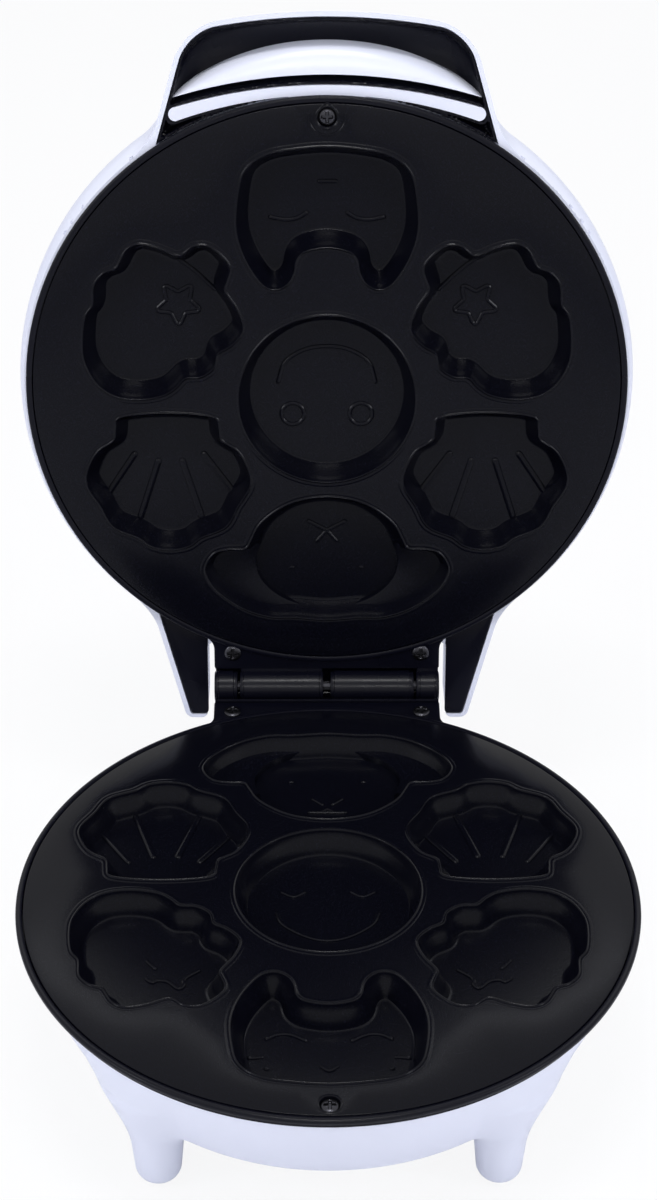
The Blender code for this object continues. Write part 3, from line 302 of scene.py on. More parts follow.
# Cutters taken from a shell with crisp edges
def carved(shell, cutters):
    things = []
    for name, shells in (("body", [shell]), ("cutter", cutters)):
        mesh = toMesh(name, shells)
        form = bmesh.new()
        form.from_mesh(mesh)
        bmesh.ops.remove_doubles(form, verts=form.verts, dist=1e-4)
        bmesh.ops.recalc_face_normals(form, faces=form.faces)
        form.to_mesh(mesh)
        form.free()
        thing = bpy.data.objects.new(name, mesh)
        scene.collection.objects.link(thing)
        things.append(thing)
    cut = things[0].modifiers.new("cut", "BOOLEAN")
    cut.operation, cut.solver, cut.object = "DIFFERENCE", "EXACT", things[1]
    bpy.context.view_layer.update()
    mesh = bpy.data.meshes.new_from_object(things[0].evaluated_get(bpy.context.evaluated_depsgraph_get()))
    for thing in things:
        bpy.data.objects.remove(thing)
    return toShell(mesh)


# One finished piece from its shells, which are all closed
def makePiece(name, shells, place, body, finish, replaces=(), sharp=32):
    mesh = toMesh(name, [(place(points), faces) for points, faces in shells])
    form = bmesh.new()
    form.from_mesh(mesh)
    bmesh.ops.remove_doubles(form, verts=form.verts, dist=2e-6)
    bmesh.ops.recalc_face_normals(form, faces=form.faces)
    form.to_mesh(mesh)
    form.free()
    mesh.shade_smooth()
    mesh.set_sharp_from_angle(angle=math.radians(sharp))
    mesh.materials.append(finish)
    piece = bpy.data.objects.new(name, mesh)
    scene.collection.objects.link(piece)
    if replaces:
        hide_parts(*replaces)
    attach(piece, body)
    return piece


# Finishes. A Value is a shader socket that takes part in sums.
class Value:
    def __init__(self, finish, socket):
        self.finish, self.socket = finish, socket

    def math(self, operation, first, second):
        return self.finish.node("ShaderNodeMath", {"operation": operation}, {0: first, 1: second})

    def __add__(self, other):
        return self.math("ADD", self, other)

    __radd__ = __add__

    def __mul__(self, other):
        return self.math("MULTIPLY", self, other)

    __rmul__ = __mul__

    def __sub__(self, other):
        return self.math("SUBTRACT", self, other)

    def __rsub__(self, other):
        return self.math("SUBTRACT", other, self)


class Finish:
    def __init__(self, name, colour, roughness, metallic=0.0, shine=0.5):
        self.material = bpy.data.materials.new(name)
        self.material.use_nodes = True
        self.tree = self.material.node_tree
        self.shader = self.tree.nodes["Principled BSDF"]
        self.feed("Base Color", (*colour, 1.0))
        self.feed("Roughness", roughness)
        self.feed("Metallic", metallic)
        self.shader.inputs["Specular IOR Level"].default_value = shine
        self.place = self.node("ShaderNodeTexCoord", output="Object")

    def node(self, kind, settings=None, inputs=None, output=0):
        made = self.tree.nodes.new(kind)
        for key, value in (settings or {}).items():
            if key == "stops":
                ramp = made.color_ramp.elements
                for stop, (position, colour) in zip([ramp[0], ramp[1]] + [ramp.new(0.5) for extra in value[2:]], value):
                    stop.position, stop.color = position, colour
            else:
                setattr(made, key, value)
        for key, value in (inputs or {}).items():
            if isinstance(value, Value):
                self.tree.links.new(value.socket, made.inputs[key])
            else:
                made.inputs[key].default_value = value
        return Value(self, made.outputs[output])

    def feed(self, socket, value):
        if isinstance(value, Value):
            self.tree.links.new(value.socket, self.shader.inputs[socket])
        else:
            self.shader.inputs[socket].default_value = value

    def noise(self, scale, detail=2.0, stretch=(1.0, 1.0, 1.0)):
        place = self.node("ShaderNodeMapping", inputs={"Vector": self.place, "Scale": stretch})
        return self.node("ShaderNodeTexNoise", inputs={"Vector": place, "Scale": scale, "Detail": detail})

    def range(self, value, low, high, fromLow=0.3, fromHigh=0.7):
        return self.node("ShaderNodeMapRange", inputs={
            "Value": value, "From Min": fromLow, "From Max": fromHigh, "To Min": low, "To Max": high})

    def mix(self, share, first, second):
        return self.node("ShaderNodeMix", {"data_type": "RGBA"}, {0: share, 6: first, 7: second}, output=2)

    def bump(self, height, strength, distance):
        self.feed("Normal", self.node("ShaderNodeBump", inputs={
            "Height": height, "Strength": strength, "Distance": distance}))


# Moulded plastic: a slow cloudiness in its colour and gloss and a fine moulded skin
def plastic(name, colour, roughness, spread=0.04, grain=0.05, scale=1500.0, shine=0.5):
    made = Finish(name, colour, roughness, 0.0, shine)
    cloud = made.noise(22.0, 3.0)
    shade = tuple(channel * (1 - spread) for channel in colour)
    made.feed("Base Color", made.mix(made.range(cloud, 0.0, 1.0), (*colour, 1.0), (*shade, 1.0)))
    made.feed("Roughness", made.range(made.noise(60.0), roughness * 0.9, roughness * 1.12))
    made.bump(made.noise(scale, 1.0), grain, 0.0001)
    return made.material


# Non-stick coating: a sprayed film with a fine orange peel, tiny flecks and rubbed patches
def coating(name, colour, roughness):
    made = Finish(name, colour, roughness, 0.0, 0.11)
    fleck = made.range(made.noise(2600.0, 0.0), 0.0, 1.0, 0.66, 0.72)
    lighter = tuple(channel * 2.4 for channel in colour)
    made.feed("Base Color", made.mix(fleck, (*colour, 1.0), (*lighter, 1.0)))
    rubbed = made.range(made.noise(14.0, 4.0), roughness * 0.9, roughness * 1.15)
    made.feed("Roughness", rubbed - fleck * 0.05)
    made.bump(made.noise(900.0, 2.0), 0.10, 0.00015)
    return made.material


def rubberFinish(name):
    made = Finish(name, (0.022, 0.022, 0.025), 0.75)
    made.feed("Roughness", made.range(made.noise(90.0), 0.68, 0.82))
    made.bump(made.noise(1800.0, 2.0), 0.2, 0.0001)
    return made.material


# Sheet and tube metal: fine drawn lines across its shine, and stains from heat
def metal(name, colour, roughness, stain, stretch=(1.0, 1.0, 1.0)):
    made = Finish(name, colour, roughness, 1.0)
    patch = made.range(made.noise(30.0, 4.0), 0.0, 1.0, 0.45, 0.7)
    made.feed("Base Color", made.mix(patch, (*colour, 1.0), (*stain, 1.0)))
    made.feed("Roughness", made.range(made.noise(700.0, 2.0, stretch), roughness * 0.8, roughness * 1.25))
    made.bump(made.noise(1200.0, 2.0, stretch), 0.05, 0.0001)
    return made.material


def lens(name, colour):
    made = Finish(name, colour, 0.12)
    made.shader.inputs["Coat Weight"].default_value = 0.6
    made.feed("Roughness", made.range(made.noise(300.0), 0.09, 0.16))
    return made.material


finishes = {
    "white_plastic": plastic("whitePlastic", (0.715, 0.735, 0.835), 0.34, 0.006, 0.012),
    "black_plastic": plastic("blackPlastic", (0.0024, 0.0025, 0.0062), 0.28, 0.25, 0.05, 1500.0, 0.14),
    "nonstick_coating": coating("nonstickCoating", (0.0018, 0.0019, 0.0040), 0.21),
    "rubber": rubberFinish("rubber"),
    "screw_steel": metal("screwSteel", (0.05, 0.05, 0.058), 0.30, (0.03, 0.03, 0.035)),
    "heater_steel": metal("heaterSteel", (0.30, 0.28, 0.26), 0.45, (0.16, 0.12, 0.10)),
    "reflector_steel": metal("reflectorSteel", (0.60, 0.61, 0.63), 0.30, (0.40, 0.37, 0.34), (1.0, 0.05, 1.0)),
    "thermostat_body": plastic("thermostatBody", (0.55, 0.50, 0.42), 0.6, 0.12, 0.15, 700.0),
    "red_lens": lens("redLens", (0.50, 0.015, 0.012)),
    "green_lens": lens("greenLens", (0.015, 0.36, 0.05))}
print("finishes made")


# Camera at the photograph's angle
camera = {"place": (-4.93, -748.25, 648.88), "pitch": 0.6073, "yaw": 0.0068, "roll": 0.0025, "lens": 82.26}


def aimCamera(view):
    cp, sp, cy, sy = math.cos(view["pitch"]), math.sin(view["pitch"]), math.cos(view["yaw"]), math.sin(view["yaw"])
    forward = np.array([sy * cp, cy * cp, -sp])
    right = np.array([cy, -sy, 0.0])
    up = np.cross(right, forward)
    c, s = math.cos(view["roll"]), math.sin(view["roll"])
    right, up = c * right + s * up, c * up - s * right
    data = bpy.data.cameras.new("photoCamera")
    data.lens, data.sensor_width, data.clip_start, data.clip_end = view["lens"], 36.0, 0.01, 50.0
    thing = bpy.data.objects.new("photoCamera", data)
    scene.collection.objects.link(thing)
    matrix = np.eye(4)
    matrix[:3, 0], matrix[:3, 1], matrix[:3, 2] = right, up, -forward
    matrix[:3, 3] = (np.array(view["place"]) + faceCentre) * mm
    thing.matrix_world = Matrix(matrix.tolist())
    scene.camera = thing


aimCamera(camera)


# The seven moulds. A span is an outline's width and depth, a place its middle, and the shares
# are of half a span. The first three outlines are one half, which is mirrored.
moulds = {
    "points": 192,
    "face": {"radius": 33.1, "place": (0.0, 3.1)},
    "cat": {"span": (66.0, 53.4), "place": (0.0, -67.6), "shares": [
        (0.0, 0.39), (0.25, 0.45), (0.35, 0.57), (0.38, 0.76), (0.45, 0.92), (0.58, 1.0), (0.73, 0.91),
        (0.91, 0.55), (1.0, 0.13), (0.97, -0.39), (0.89, -0.69), (0.68, -0.88), (0.39, -0.96), (0.0, -1.0)]},
    "dog": {"span": (93.0, 51.2), "place": (0.0, 68.7), "shares": [
        (0.0, 1.0), (0.27, 0.96), (0.48, 0.95), (0.7, 0.81), (0.91, 0.52), (1.0, 0.25), (0.99, 0.07),
        (0.92, -0.09), (0.8, -0.14), (0.67, -0.15), (0.62, -0.3), (0.55, -0.55), (0.4, -0.79),
        (0.23, -0.94), (0.0, -1.0)]},
    "shell": {"span": (61.0, 55.6), "place": (-60.5, 36.5), "shares": [
        (0.0, 1.0), (0.23, 0.95), (0.39, 0.82), (0.7, 0.66), (0.85, 0.36), (1.0, 0.08), (1.0, -0.14),
        (0.87, -0.43), (0.66, -0.6), (0.63, -0.78), (0.56, -0.94), (0.0, -1.0)]},
    "fleece": {"span": (59.6, 60.0), "place": (-61.5, -27.6), "shares": [
        (-0.99, 0.25), (-0.97, 0.51), (-0.84, 0.78), (-0.62, 0.95), (-0.32, 1.0), (-0.02, 0.95),
        (0.14, 0.85), (0.27, 0.72), (0.47, 0.7), (0.63, 0.58), (0.68, 0.4), (0.84, 0.3), (0.97, 0.16),
        (1.0, 0.03), (0.92, -0.19), (0.78, -0.41), (0.81, -0.55), (0.85, -0.69), (0.79, -0.81),
        (0.6, -0.97), (0.41, -0.97), (0.24, -0.85), (-0.02, -0.95), (-0.26, -1.0), (-0.41, -0.93),
        (-0.49, -0.79), (-0.55, -0.69), (-0.7, -0.63), (-0.82, -0.49), (-0.84, -0.29), (-0.86, -0.2),
        (-0.95, -0.06)]},
    # How far each ring lies outside the rim, and its height: a faint step round the mould, a thin
    # bead at its edge, the sloping wall and the rounded corner of the floor
    "rings": [(2.7, 0.0), (2.45, 0.0), (2.25, 0.03), (2.08, 0.1), (1.9, 0.12), (1.25, 0.1), (1.08, 0.06),
              (0.9, 0.2), (0.72, 0.38), (0.48, 0.46), (0.25, 0.38), (0.06, 0.1), (-0.04, -0.3), (-0.2, -1.0),
              (-1.2, -2.9), (-2.4, -5.2), (-3.5, -7.4), (-3.7, -8.0), (-3.95, -8.45), (-4.35, -8.6), (-5.2, -8.6)]}

# Lines in relief on the floors: paths in the plate's plane, most of them one half of a pair
reliefs = {
    "width": 1.7, "height": 0.8, "ridge": 2.6, "floor": -8.6,
    "ridges": [[(84.0, 44.1), (73.8, 28.5)], [(72.2, 54.6), (64.7, 31.3)], [(48.5, 54.6), (55.5, 31.3)],
               [(36.2, 43.9), (47.2, 28.4)]],
    "base": {
        "pairs": [
            [(8.7, 10.9), (12.5, 8.6), (16.7, 10.9)],
            [(8.0, -65.8), (11.3, -63.7), (14.6, -62.6), (18.4, -63.1), (21.4, -64.9)],
            [(22.9, -73.8), (27.1, -74.2)], [(21.1, -79.25), (21.4, -79.25)],
            [(13.6, 75.2), (14.1, 75.2)], [(0.0, 59.0), (2.7, 57.1)], [(2.1, 61.6), (5.4, 64.6)],
            [(64.1, -25.9), (61.1, -29.6)],
            [(63.7, -35.2), (61.7, -36.7), (60.0, -35.7), (56.3, -36.3), (52.6, -39.8), (50.8, -38.3),
             (50.4, -34.7), (45.6, -30.6)]],
        "singles": [
            [(-18.4, -0.1), (-16.3, -6.5), (-8.1, -12.9), (-0.2, -15.1), (7.8, -12.9), (15.8, -6.5), (18.2, -0.1)],
            [(-2.6, -78.3), (0.0, -80.2), (2.6, -78.3)], [(-6.8, 56.8), (6.6, 56.8)]]},
    "lid": {
        "pairs": [
            [(7.6, -67.4), (11.1, -65.4), (15.5, -64.8), (21.0, -65.8)], [(13.3, 76.1), (13.8, 76.1)],
            [(7.0, 56.5), (0.0, 60.3)], [(0.0, 60.3), (3.9, 64.8)],
            [(56.5, -50.7), (49.2, -45.0), (41.8, -37.9)]],
        "singles": [
            [(-18.5, -1.1), (-15.8, -9.0), (-8.6, -13.9), (0.0, -15.3), (8.6, -13.9), (15.8, -9.0), (18.5, -1.1)],
            [(-2.8, -79.4), (3.2, -79.4)]],
        "rings": [(13.0, 11.9, 4.3), (-13.0, 11.9, 4.3)],
        "star": {"place": (55.7, -32.3), "outer": 9.6, "inner": 4.6}},
    "ears": {"middle": (0.0, 72.5), "half": (27.6, 19.6), "height": -5.6}}


def mouldOutline(key):
    mould = moulds[key]
    if "radius" in mould:
        return circle(mould["radius"], mould["place"], moulds["points"])
    shares = mould["shares"]
    if key != "fleece":
        shares = shares + [(-x, y) for x, y in reversed(shares[1:-1])]
    corners = np.array(shares) * np.array(mould["span"]) / 2 + mould["place"]
    return smoothOutline(corners, moulds["points"])


def mouldOutlines():
    found = [mouldOutline(key) for key in ("face", "cat", "dog", "shell", "fleece")]
    return found + [anticlockwise(outline * [-1, 1]) for outline in found[3:]]


# A half-round bead along a path: an oval ring carried along it, drawn in to a point at both ends
def bead(path, width, height, floor, closed=False):
    path = np.asarray(path, float)
    if len(path) == 1:
        path = np.vstack([path, path + [0.01, 0]])
    if not closed:
        a, d = 2 * path[0] - path[1], 2 * path[-1] - path[-2]
        full = np.vstack([a, path, d])
        t = np.linspace(0, 1, 9)[:-1][None, :, None]
        p0, p1, p2, p3 = (full[i:len(full) - 3 + i][:, None, :] for i in range(4))
        curve = 0.5 * (2 * p1 + (p2 - p0) * t + (2 * p0 - 5 * p1 + 4 * p2 - p3) * t ** 2
                       + (3 * p1 - p0 - 3 * p2 + p3) * t ** 3)
        path = np.vstack([curve.reshape(-1, 2), path[-1:]])
    along = np.concatenate([[0.0], np.cumsum(np.linalg.norm(np.diff(path, axis=0), axis=1))])
    if not closed:
        count = max(3, int(along[-1] / 0.9) + 2)
        wanted = np.linspace(0, along[-1], count)
        path = np.column_stack([np.interp(wanted, along, path[:, i]) for i in range(2)])
        heading = np.gradient(path, axis=0)
        heading /= np.linalg.norm(heading, axis=1)[:, None]
        tips = width / 2 * np.sin(np.linspace(0, math.pi / 2, 4))
        reach = width / 2 * (1 - np.cos(np.linspace(0, math.pi / 2, 4)))
        ends = path[0] - heading[0] * width / 2, path[-1] + heading[-1] * width / 2
        path = np.vstack([ends[0] + heading[0] * reach[:3, None], path, ends[1] - heading[-1] * reach[2::-1, None]])
        heading = np.vstack([np.repeat(heading[:1], 3, 0), heading, np.repeat(heading[-1:], 3, 0)])
        swell = np.concatenate([tips[:3], np.full(count, width / 2), tips[2::-1]]) / (width / 2)
    else:
        heading = np.roll(path, -1, axis=0) - np.roll(path, 1, axis=0)
        heading /= np.linalg.norm(heading, axis=1)[:, None]
        swell = np.ones(len(path))
    side = np.column_stack([-heading[:, 1], heading[:, 0]])
    turns = np.linspace(0, math.tau, 10, endpoint=False)
    across = (swell * width / 2)[:, None, None] * np.cos(turns)[None, :, None] * side[:, None, :]
    up = (swell * height)[:, None] * np.sin(turns)[None, :] + floor
    points = np.concatenate([path[:, None, :] + across, up[..., None]], -1).reshape(-1, 3)
    return points, [lattice(len(path), len(turns), closedRows=closed)]


# The dog's ears lie higher than its face: a shelf between the mould's wall and the face's edge
def earShelves(outline, shape):
    middle, half = np.array(shape["middle"]), np.array(shape["half"])
    wall = grown(outline, -1.4)
    outside = np.linalg.norm((wall - middle) / half, axis=1) > 1.04
    run = wall[(wall[:, 0] > 10.5) & outside & (wall[:, 1] > 63.5)]
    last, first = (math.atan2((point - middle)[1] / half[1], (point - middle)[0] / half[0]) for point in run[[0, -1]])
    turns = np.linspace(first, last, 60)
    inner = middle + half * np.column_stack([np.cos(turns), np.sin(turns)])
    along = np.concatenate([[0.0], np.cumsum(np.linalg.norm(np.diff(run, axis=0), axis=1))])
    outer = np.column_stack([np.interp(np.linspace(along[-1], 0, 60), along, run[:, i]) for i in range(2)])
    across = inner - outer
    across /= np.maximum(np.linalg.norm(across, axis=1), 0.01)[:, None]
    high = shape["height"]
    section = [(outer, high), (inner - 0.5 * across, high), (inner - 0.15 * across, high - 0.12),
               (inner, high - 0.45), (inner, -9.2), (outer, -9.2)]
    points = np.stack([atHeight(line, height) for line, height in section], 1).reshape(-1, 3)
    faces = [lattice(60, 6), np.arange(6)[None], np.arange(6)[None, ::-1] + 354]
    return [(points, faces), (points * [-1, 1, 1], faces)]


def starOutline(shape, side):
    turns = np.arange(10) * math.tau / 10 + math.pi / 2
    radii = np.where(np.arange(10) % 2, shape["inner"], shape["outer"])
    corners = np.column_stack([radii * np.cos(turns), radii * np.sin(turns)])
    place = np.array(shape["place"]) * [side, 1]
    return spaced(roundCorners(corners, [1.0] * 10, 4), 90) + place


def reliefShells(kind):
    lines = reliefs[kind]
    size = reliefs["width"], reliefs["height"], reliefs["floor"]
    shells = [bead(path, *size) for path in lines["singles"]]
    for path in lines["pairs"]:
        shells += [bead(np.array(path) * [side, 1], *size) for side in (-1, 1)]
    for path in reliefs["ridges"]:
        shells += [bead(np.array(path) * [side, 1], reliefs["ridge"], *size[1:]) for side in (-1, 1)]
    for x, y, radius in lines.get("rings", ()):
        shells.append(bead(circle(radius, (x, y), 48), *size, closed=True))
    if "star" in lines:
        shells += [bead(starOutline(lines["star"], side), *size, closed=True) for side in (-1, 1)]
    return shells


plates = {"edge": 2.6, "plugRadius": 102.0, "plugDepth": 10.4, "screwInset": 7.9, "rimWidth": 2.4,
          "baseRim": 112.0, "lidRim": 113.4}


# A drop-shaped lip round the upper front screw, with its tip to the handle, and an arc beside it
def lipShells(screwY):
    turns = np.linspace(math.radians(-50), math.radians(230), 40)
    drop = np.vstack([4.2 * np.column_stack([np.cos(turns), np.sin(turns)]), [[-1.0, -4.9], [0.0, -5.5], [1.0, -4.9]]])
    turns = np.linspace(math.radians(-12), math.radians(192), 40)
    arc = 6.6 * np.column_stack([np.cos(turns), np.sin(turns)])
    return [bead(spaced(drop, 80) + [0, screwY], 0.9, 0.45, 0.0, closed=True),
            bead(arc + [0, screwY], 0.9, 0.4, 0.0)]


# A cast plate: rings of points round each mould from its bead down to its floor, the flat face
# filled between them, and a turned edge and underside that close the form
def plateShells(rimRadius, kind):
    radius = rimRadius - plates["rimWidth"] - fitGap
    shells, loops = [], []
    for outline in mouldOutlines():
        levels = [atHeight(grown(outline, out), height) for out, height in moulds["rings"]]
        loops.append(levels[0])
        shells.append(ringShell(levels, False, True))
    screwY = -(rimRadius - plates["screwInset"])
    seat = [(4.6, 0.0), (4.25, 0.22), (3.95, 0.24), (3.6, 0.0), (3.5, -0.4), (3.5, -2.2), (0.0, -2.2)]
    if kind == "lid":
        seat[0] = (4.8, 0.0)
    hole = turned(seat, 60, centre=(0.0, screwY, 0.0))
    loops.append(atHeight(circle(seat[0][0], (0.0, screwY), 60), 0.0))
    shells.append(hole)
    loops.append(atHeight(circle(radius - 0.4), 0.0))
    shells.append(turned([
        (radius - 0.4, 0.0), (radius - 0.12, -0.12), (radius, -0.4), (radius, -plates["edge"]),
        (plates["plugRadius"], -plates["edge"]), (plates["plugRadius"], -plates["plugDepth"]),
        (0.0, -plates["plugDepth"])]))
    shells.append(fillBetween(loops))
    shells += earShelves(mouldOutline("dog"), reliefs["ears"])
    if kind == "lid":
        shells += lipShells(screwY)
    return shells + reliefShells(kind)


makePiece("basePlate", plateShells(plates["baseRim"], "base"), basePlace, "base",
          finishes["nonstick_coating"], ["base_plate"])
makePiece("lidPlate", mirrored(plateShells(plates["lidRim"], "lid")), lidPlace, "lid",
          finishes["nonstick_coating"], ["lid_plate"])
print("plates made")


# The rings round the plates, with the hinge brackets and knuckles
rings = {"height": 2.2, "overhang": 2.0, "flange": 6.6, "neck": 4.9, "bracketWidth": 88.6, "bracketDepth": 8.0,
         "bracketTop": -0.8, "fillet": 6.0, "barrel": 6.3, "clearance": 1.0, "bore": 2.7, "end": 9.1, "gap": 0.9,
         "middleGap": 2.8}


def bracketOutline(rimRadius, grow=0.0):
    half, fillet, rim = rings["bracketWidth"] / 2 + grow, rings["fillet"] - grow, rimRadius + grow
    centre = np.array([half + fillet, math.sqrt((rim + fillet) ** 2 - (half + fillet) ** 2)])
    turns = np.linspace(math.atan2(-centre[1], -centre[0]), -math.pi, 9)
    side = centre + fillet * np.column_stack([np.cos(turns), np.sin(turns)])
    end = hingeY - rings["barrel"] - rings["clearance"] + grow
    first = math.asin(side[0, 0] / (rimRadius - 0.6))
    arc = np.linspace(first, -first, 41) + grow * 0
    inner = (rimRadius - 0.6) * np.column_stack([np.sin(arc), np.cos(arc)])
    right = np.vstack([side, [[half, end - 0.6], [half - 0.6, end]]])
    left = right[::-1] * [-1, 1]
    return anticlockwise(np.vstack([right, left, inner[::-1]]))


def knuckleSpans(kind):
    half = rings["bracketWidth"] / 2
    end = (-half, -half + rings["end"])
    barrel = (rings["middleGap"] / 2, half - rings["end"] - rings["gap"])
    return [end, barrel] if kind == "base" else [(-b, -a) for a, b in (end, barrel)]


def knuckle(low, high, axisZ):
    r, bore = rings["barrel"], rings["bore"]
    return turned([
        (bore, low), (r - 1.0, low), (r - 0.5, low + 0.15), (r - 0.35, low + 0.5), (r - 0.35, low + 1.5), (r, low + 1.7),
        (r, high - 1.7), (r - 0.35, high - 1.5), (r - 0.35, high - 0.5), (r - 0.5, high - 0.15), (r - 1.0, high),
        (bore, high)], 64, "x", (0.0, hingeY, axisZ))


def boxOutline(x0, y0, x1, y1, corner=0.6):
    return roundCorners([(x0, y0), (x1, y0), (x1, y1), (x0, y1)], [corner] * 4, 4)


# A trough about the hinge axis behind the other body's knuckles
def cradle(kind):
    first, last = (188, 328) if kind == "base" else (76, 172)
    turns = np.radians(np.linspace(first, last, 40))
    inner, outer = rings["barrel"] + rings["clearance"], rings["barrel"] + rings["clearance"] + 1.2
    profile = np.vstack([radius * np.column_stack([np.cos(way), np.sin(way)])
                         for radius, way in ((inner, turns), (outer, turns[::-1]))]) + [hingeY, hingeZ]
    half = rings["bracketWidth"] / 2 - fitGap
    points = np.vstack([np.column_stack([np.full(len(profile), x), profile]) for x in (-half, half)])
    if kind == "lid":
        points[:, 2] = plateGap - points[:, 2]
    return ringShell([points[:len(profile)], points[len(profile):]])


def ringShells(rimRadius, kind):
    neck = rimRadius - rings["overhang"]
    inner = rimRadius - plates["rimWidth"]
    floor = -(plates["edge"] + fitGap)
    shells = [turned([
        (inner, -0.5), (inner + 0.12, -0.14), (inner + 0.45, 0.0), (rimRadius - 0.9, 0.0), (rimRadius - 0.4, -0.12),
        (rimRadius - 0.1, -0.42), (rimRadius, -0.85), (rimRadius, -1.5), (rimRadius - 0.15, -1.95),
        (rimRadius - 0.5, -2.2), (neck, -2.2), (neck, -rings["neck"]),
        (inner - rings["flange"], -rings["neck"]), (inner - rings["flange"], floor), (inner, floor)])]
    outline = bracketOutline(rimRadius)
    shells.append(slab(spaced(outline, 420), rings["bracketTop"], -rings["bracketDepth"], 0.4))
    shells.append(cradle(kind))
    axisZ = hingeZ if kind == "base" else plateGap - hingeZ
    end = hingeY - rings["barrel"] - rings["clearance"]
    for low, high in knuckleSpans(kind):
        shells.append(knuckle(low, high, axisZ))
        shells.append(slab(spaced(boxOutline(low + fitGap, end - 2.0, high - fitGap, hingeY - 1.0), 80),
                           -0.9, -rings["bracketDepth"] + 1.0, 0.4, 0.4))
    return shells


makePiece("baseRing", ringShells(plates["baseRim"], "base"), basePlace, "base",
          finishes["black_plastic"], ["base_frame"])
makePiece("lidRing", mirrored(ringShells(plates["lidRim"], "lid")), lidPlace, "lid",
          finishes["black_plastic"], ["lid_frame"])
print("rings made")


screws = {"radius": 3.2, "height": 1.5, "sink": 0.2, "shank": 1.6, "length": 7.5, "inset": 7.3, "offset": 14.4}


# A pan head: height falls with the fourth power of the radius, less a cross pressed into it,
# whose arms slope down to the middle
def screwShells(place, top=None):
    r = np.concatenate([np.linspace(0, 0.94, 24), [0.98, 1.0]])[:, None] * screws["radius"]
    turns = np.linspace(0, math.tau, 96, endpoint=False)[None, :]
    x, y = r * np.cos(turns), r * np.sin(turns)
    crown = -0.7 * (r / screws["radius"]) ** 4 + 0 * turns
    arm = np.minimum(np.abs(x), np.abs(y))
    reach = np.maximum(np.abs(x), np.abs(y))
    depth = np.clip((0.62 - arm) / 0.18, 0, 1) * np.clip((2.15 - reach) / 0.35, 0, 1) * 0.95
    top = -screws["sink"] if top is None else top
    head = np.stack([x, y, crown - depth + top], -1)
    under = [np.column_stack([head[-1, :, :2] * share, np.full(96, top - drop)]) for share, drop in (
        (1.0, screws["height"]), (screws["shank"] / screws["radius"], screws["height"]),
        (screws["shank"] / screws["radius"], screws["length"]), (0.0, screws["length"]))]
    rows = np.concatenate([head, np.array(under)])
    return [(rows.reshape(-1, 3) + [*place, 0.0], [lattice(len(rows), 96)])]


def placeScrews(kind, rimRadius):
    x = rings["bracketWidth"] / 2 - screws["inset"]
    y = hingeY - screws["offset"]
    spots = {"front": ((0.0, -(rimRadius - plates["screwInset"])), None),
             "rear_left": ((-x, y), 0.4), "rear_right": ((x, y), 0.4)}
    for key, (place, top) in spots.items():
        shells = screwShells(place, top)
        if kind == "lid":
            shells = mirrored(shells)
        makePiece(kind + "Screw_" + key, shells, basePlace if kind == "base" else lidPlace, kind,
                  finishes["screw_steel"], [kind + "_screw_" + key], sharp=28)


placeScrews("base", plates["baseRim"])
placeScrews("lid", plates["lidRim"])
print("screws made")


# The bowl on its legs
bowl = {"radius": 107.4, "slant": 0.22, "curve": 0.0042, "corner": 9.0, "depth": 50.0, "top": -5.2, "wall": 2.4, "cell": 1.35,
        "legs": [(89.0, -47.5, -1), (89.0, -47.5, 1), (104.0, 66.0, -1), (104.0, 66.0, 1)], "foot": -72.7,
        "legFillet": 6.5, "lugHalf": 42.0, "glandZ": -34.0, "glandFace": 108.0, "glandBoss": 9.0}


# The wall draws in by a part of the depth and a part of its square, to a flat floor
def bowlField(radius, height, inset):
    down = np.maximum(bowl["top"] - height, 0)
    slope = bowl["slant"] + 2 * bowl["curve"] * down
    wall = (radius - bowl["radius"] + (bowl["slant"] + bowl["curve"] * down) * down) / np.hypot(1, slope)
    return roundMax(wall + inset, down - bowl["depth"] - bowl["top"] + inset, bowl["corner"])


def legField(points, spread, degrees, side):
    x, y, z = np.moveaxis(points, -1, 0)
    up = z - bowl["foot"]
    lean = np.clip((up - 16) / (26 if degrees < 0 else 44), 0, 1)
    distance = spread + (1.85 if degrees < 0 else -17.0) * lean * lean * (3 - 2 * lean)
    turn = math.radians(degrees)
    flare = 0.005 if degrees < 0 else 0.0022
    radius = 7.8 + 0.085 * up + flare * np.maximum(up - 16, 0) ** 2
    round_ = np.hypot(x - side * distance * math.cos(turn), y - distance * math.sin(turn)) - radius
    leg = roundMax(round_, -up, 5.0)
    return roundMax(leg, np.hypot(x, y) - bowl["radius"] - 0.6 - np.maximum(50 - up, 0), 6.0)


def baseField(points):
    x, y, z = np.moveaxis(points, -1, 0)
    radius = np.hypot(x, y)
    body = bowlField(radius, z, 0.0)
    for leg in bowl["legs"]:
        body = roundMin(body, legField(points, *leg), bowl["legFillet"])
    end = hingeY - rings["barrel"] - rings["clearance"]
    lug = roundMax(np.abs(x) - bowl["lugHalf"], y - end, 2.0)
    lug = roundMax(lug, (y - end - 17.3 - z) * 0.7071, 4.0)
    lug = np.maximum(lug, -26.3 - z)
    body = roundMin(body, np.maximum(lug, 60 - y), 3.0)
    boss = np.maximum(np.maximum(np.hypot(x, z - bowl["glandZ"]) - bowl["glandBoss"], y - bowl["glandFace"]), 60 - y)
    body = roundMin(body, boss, 4.0)
    return np.maximum(np.maximum(body, -bowlField(radius, z, bowl["wall"])), z + 2.0)


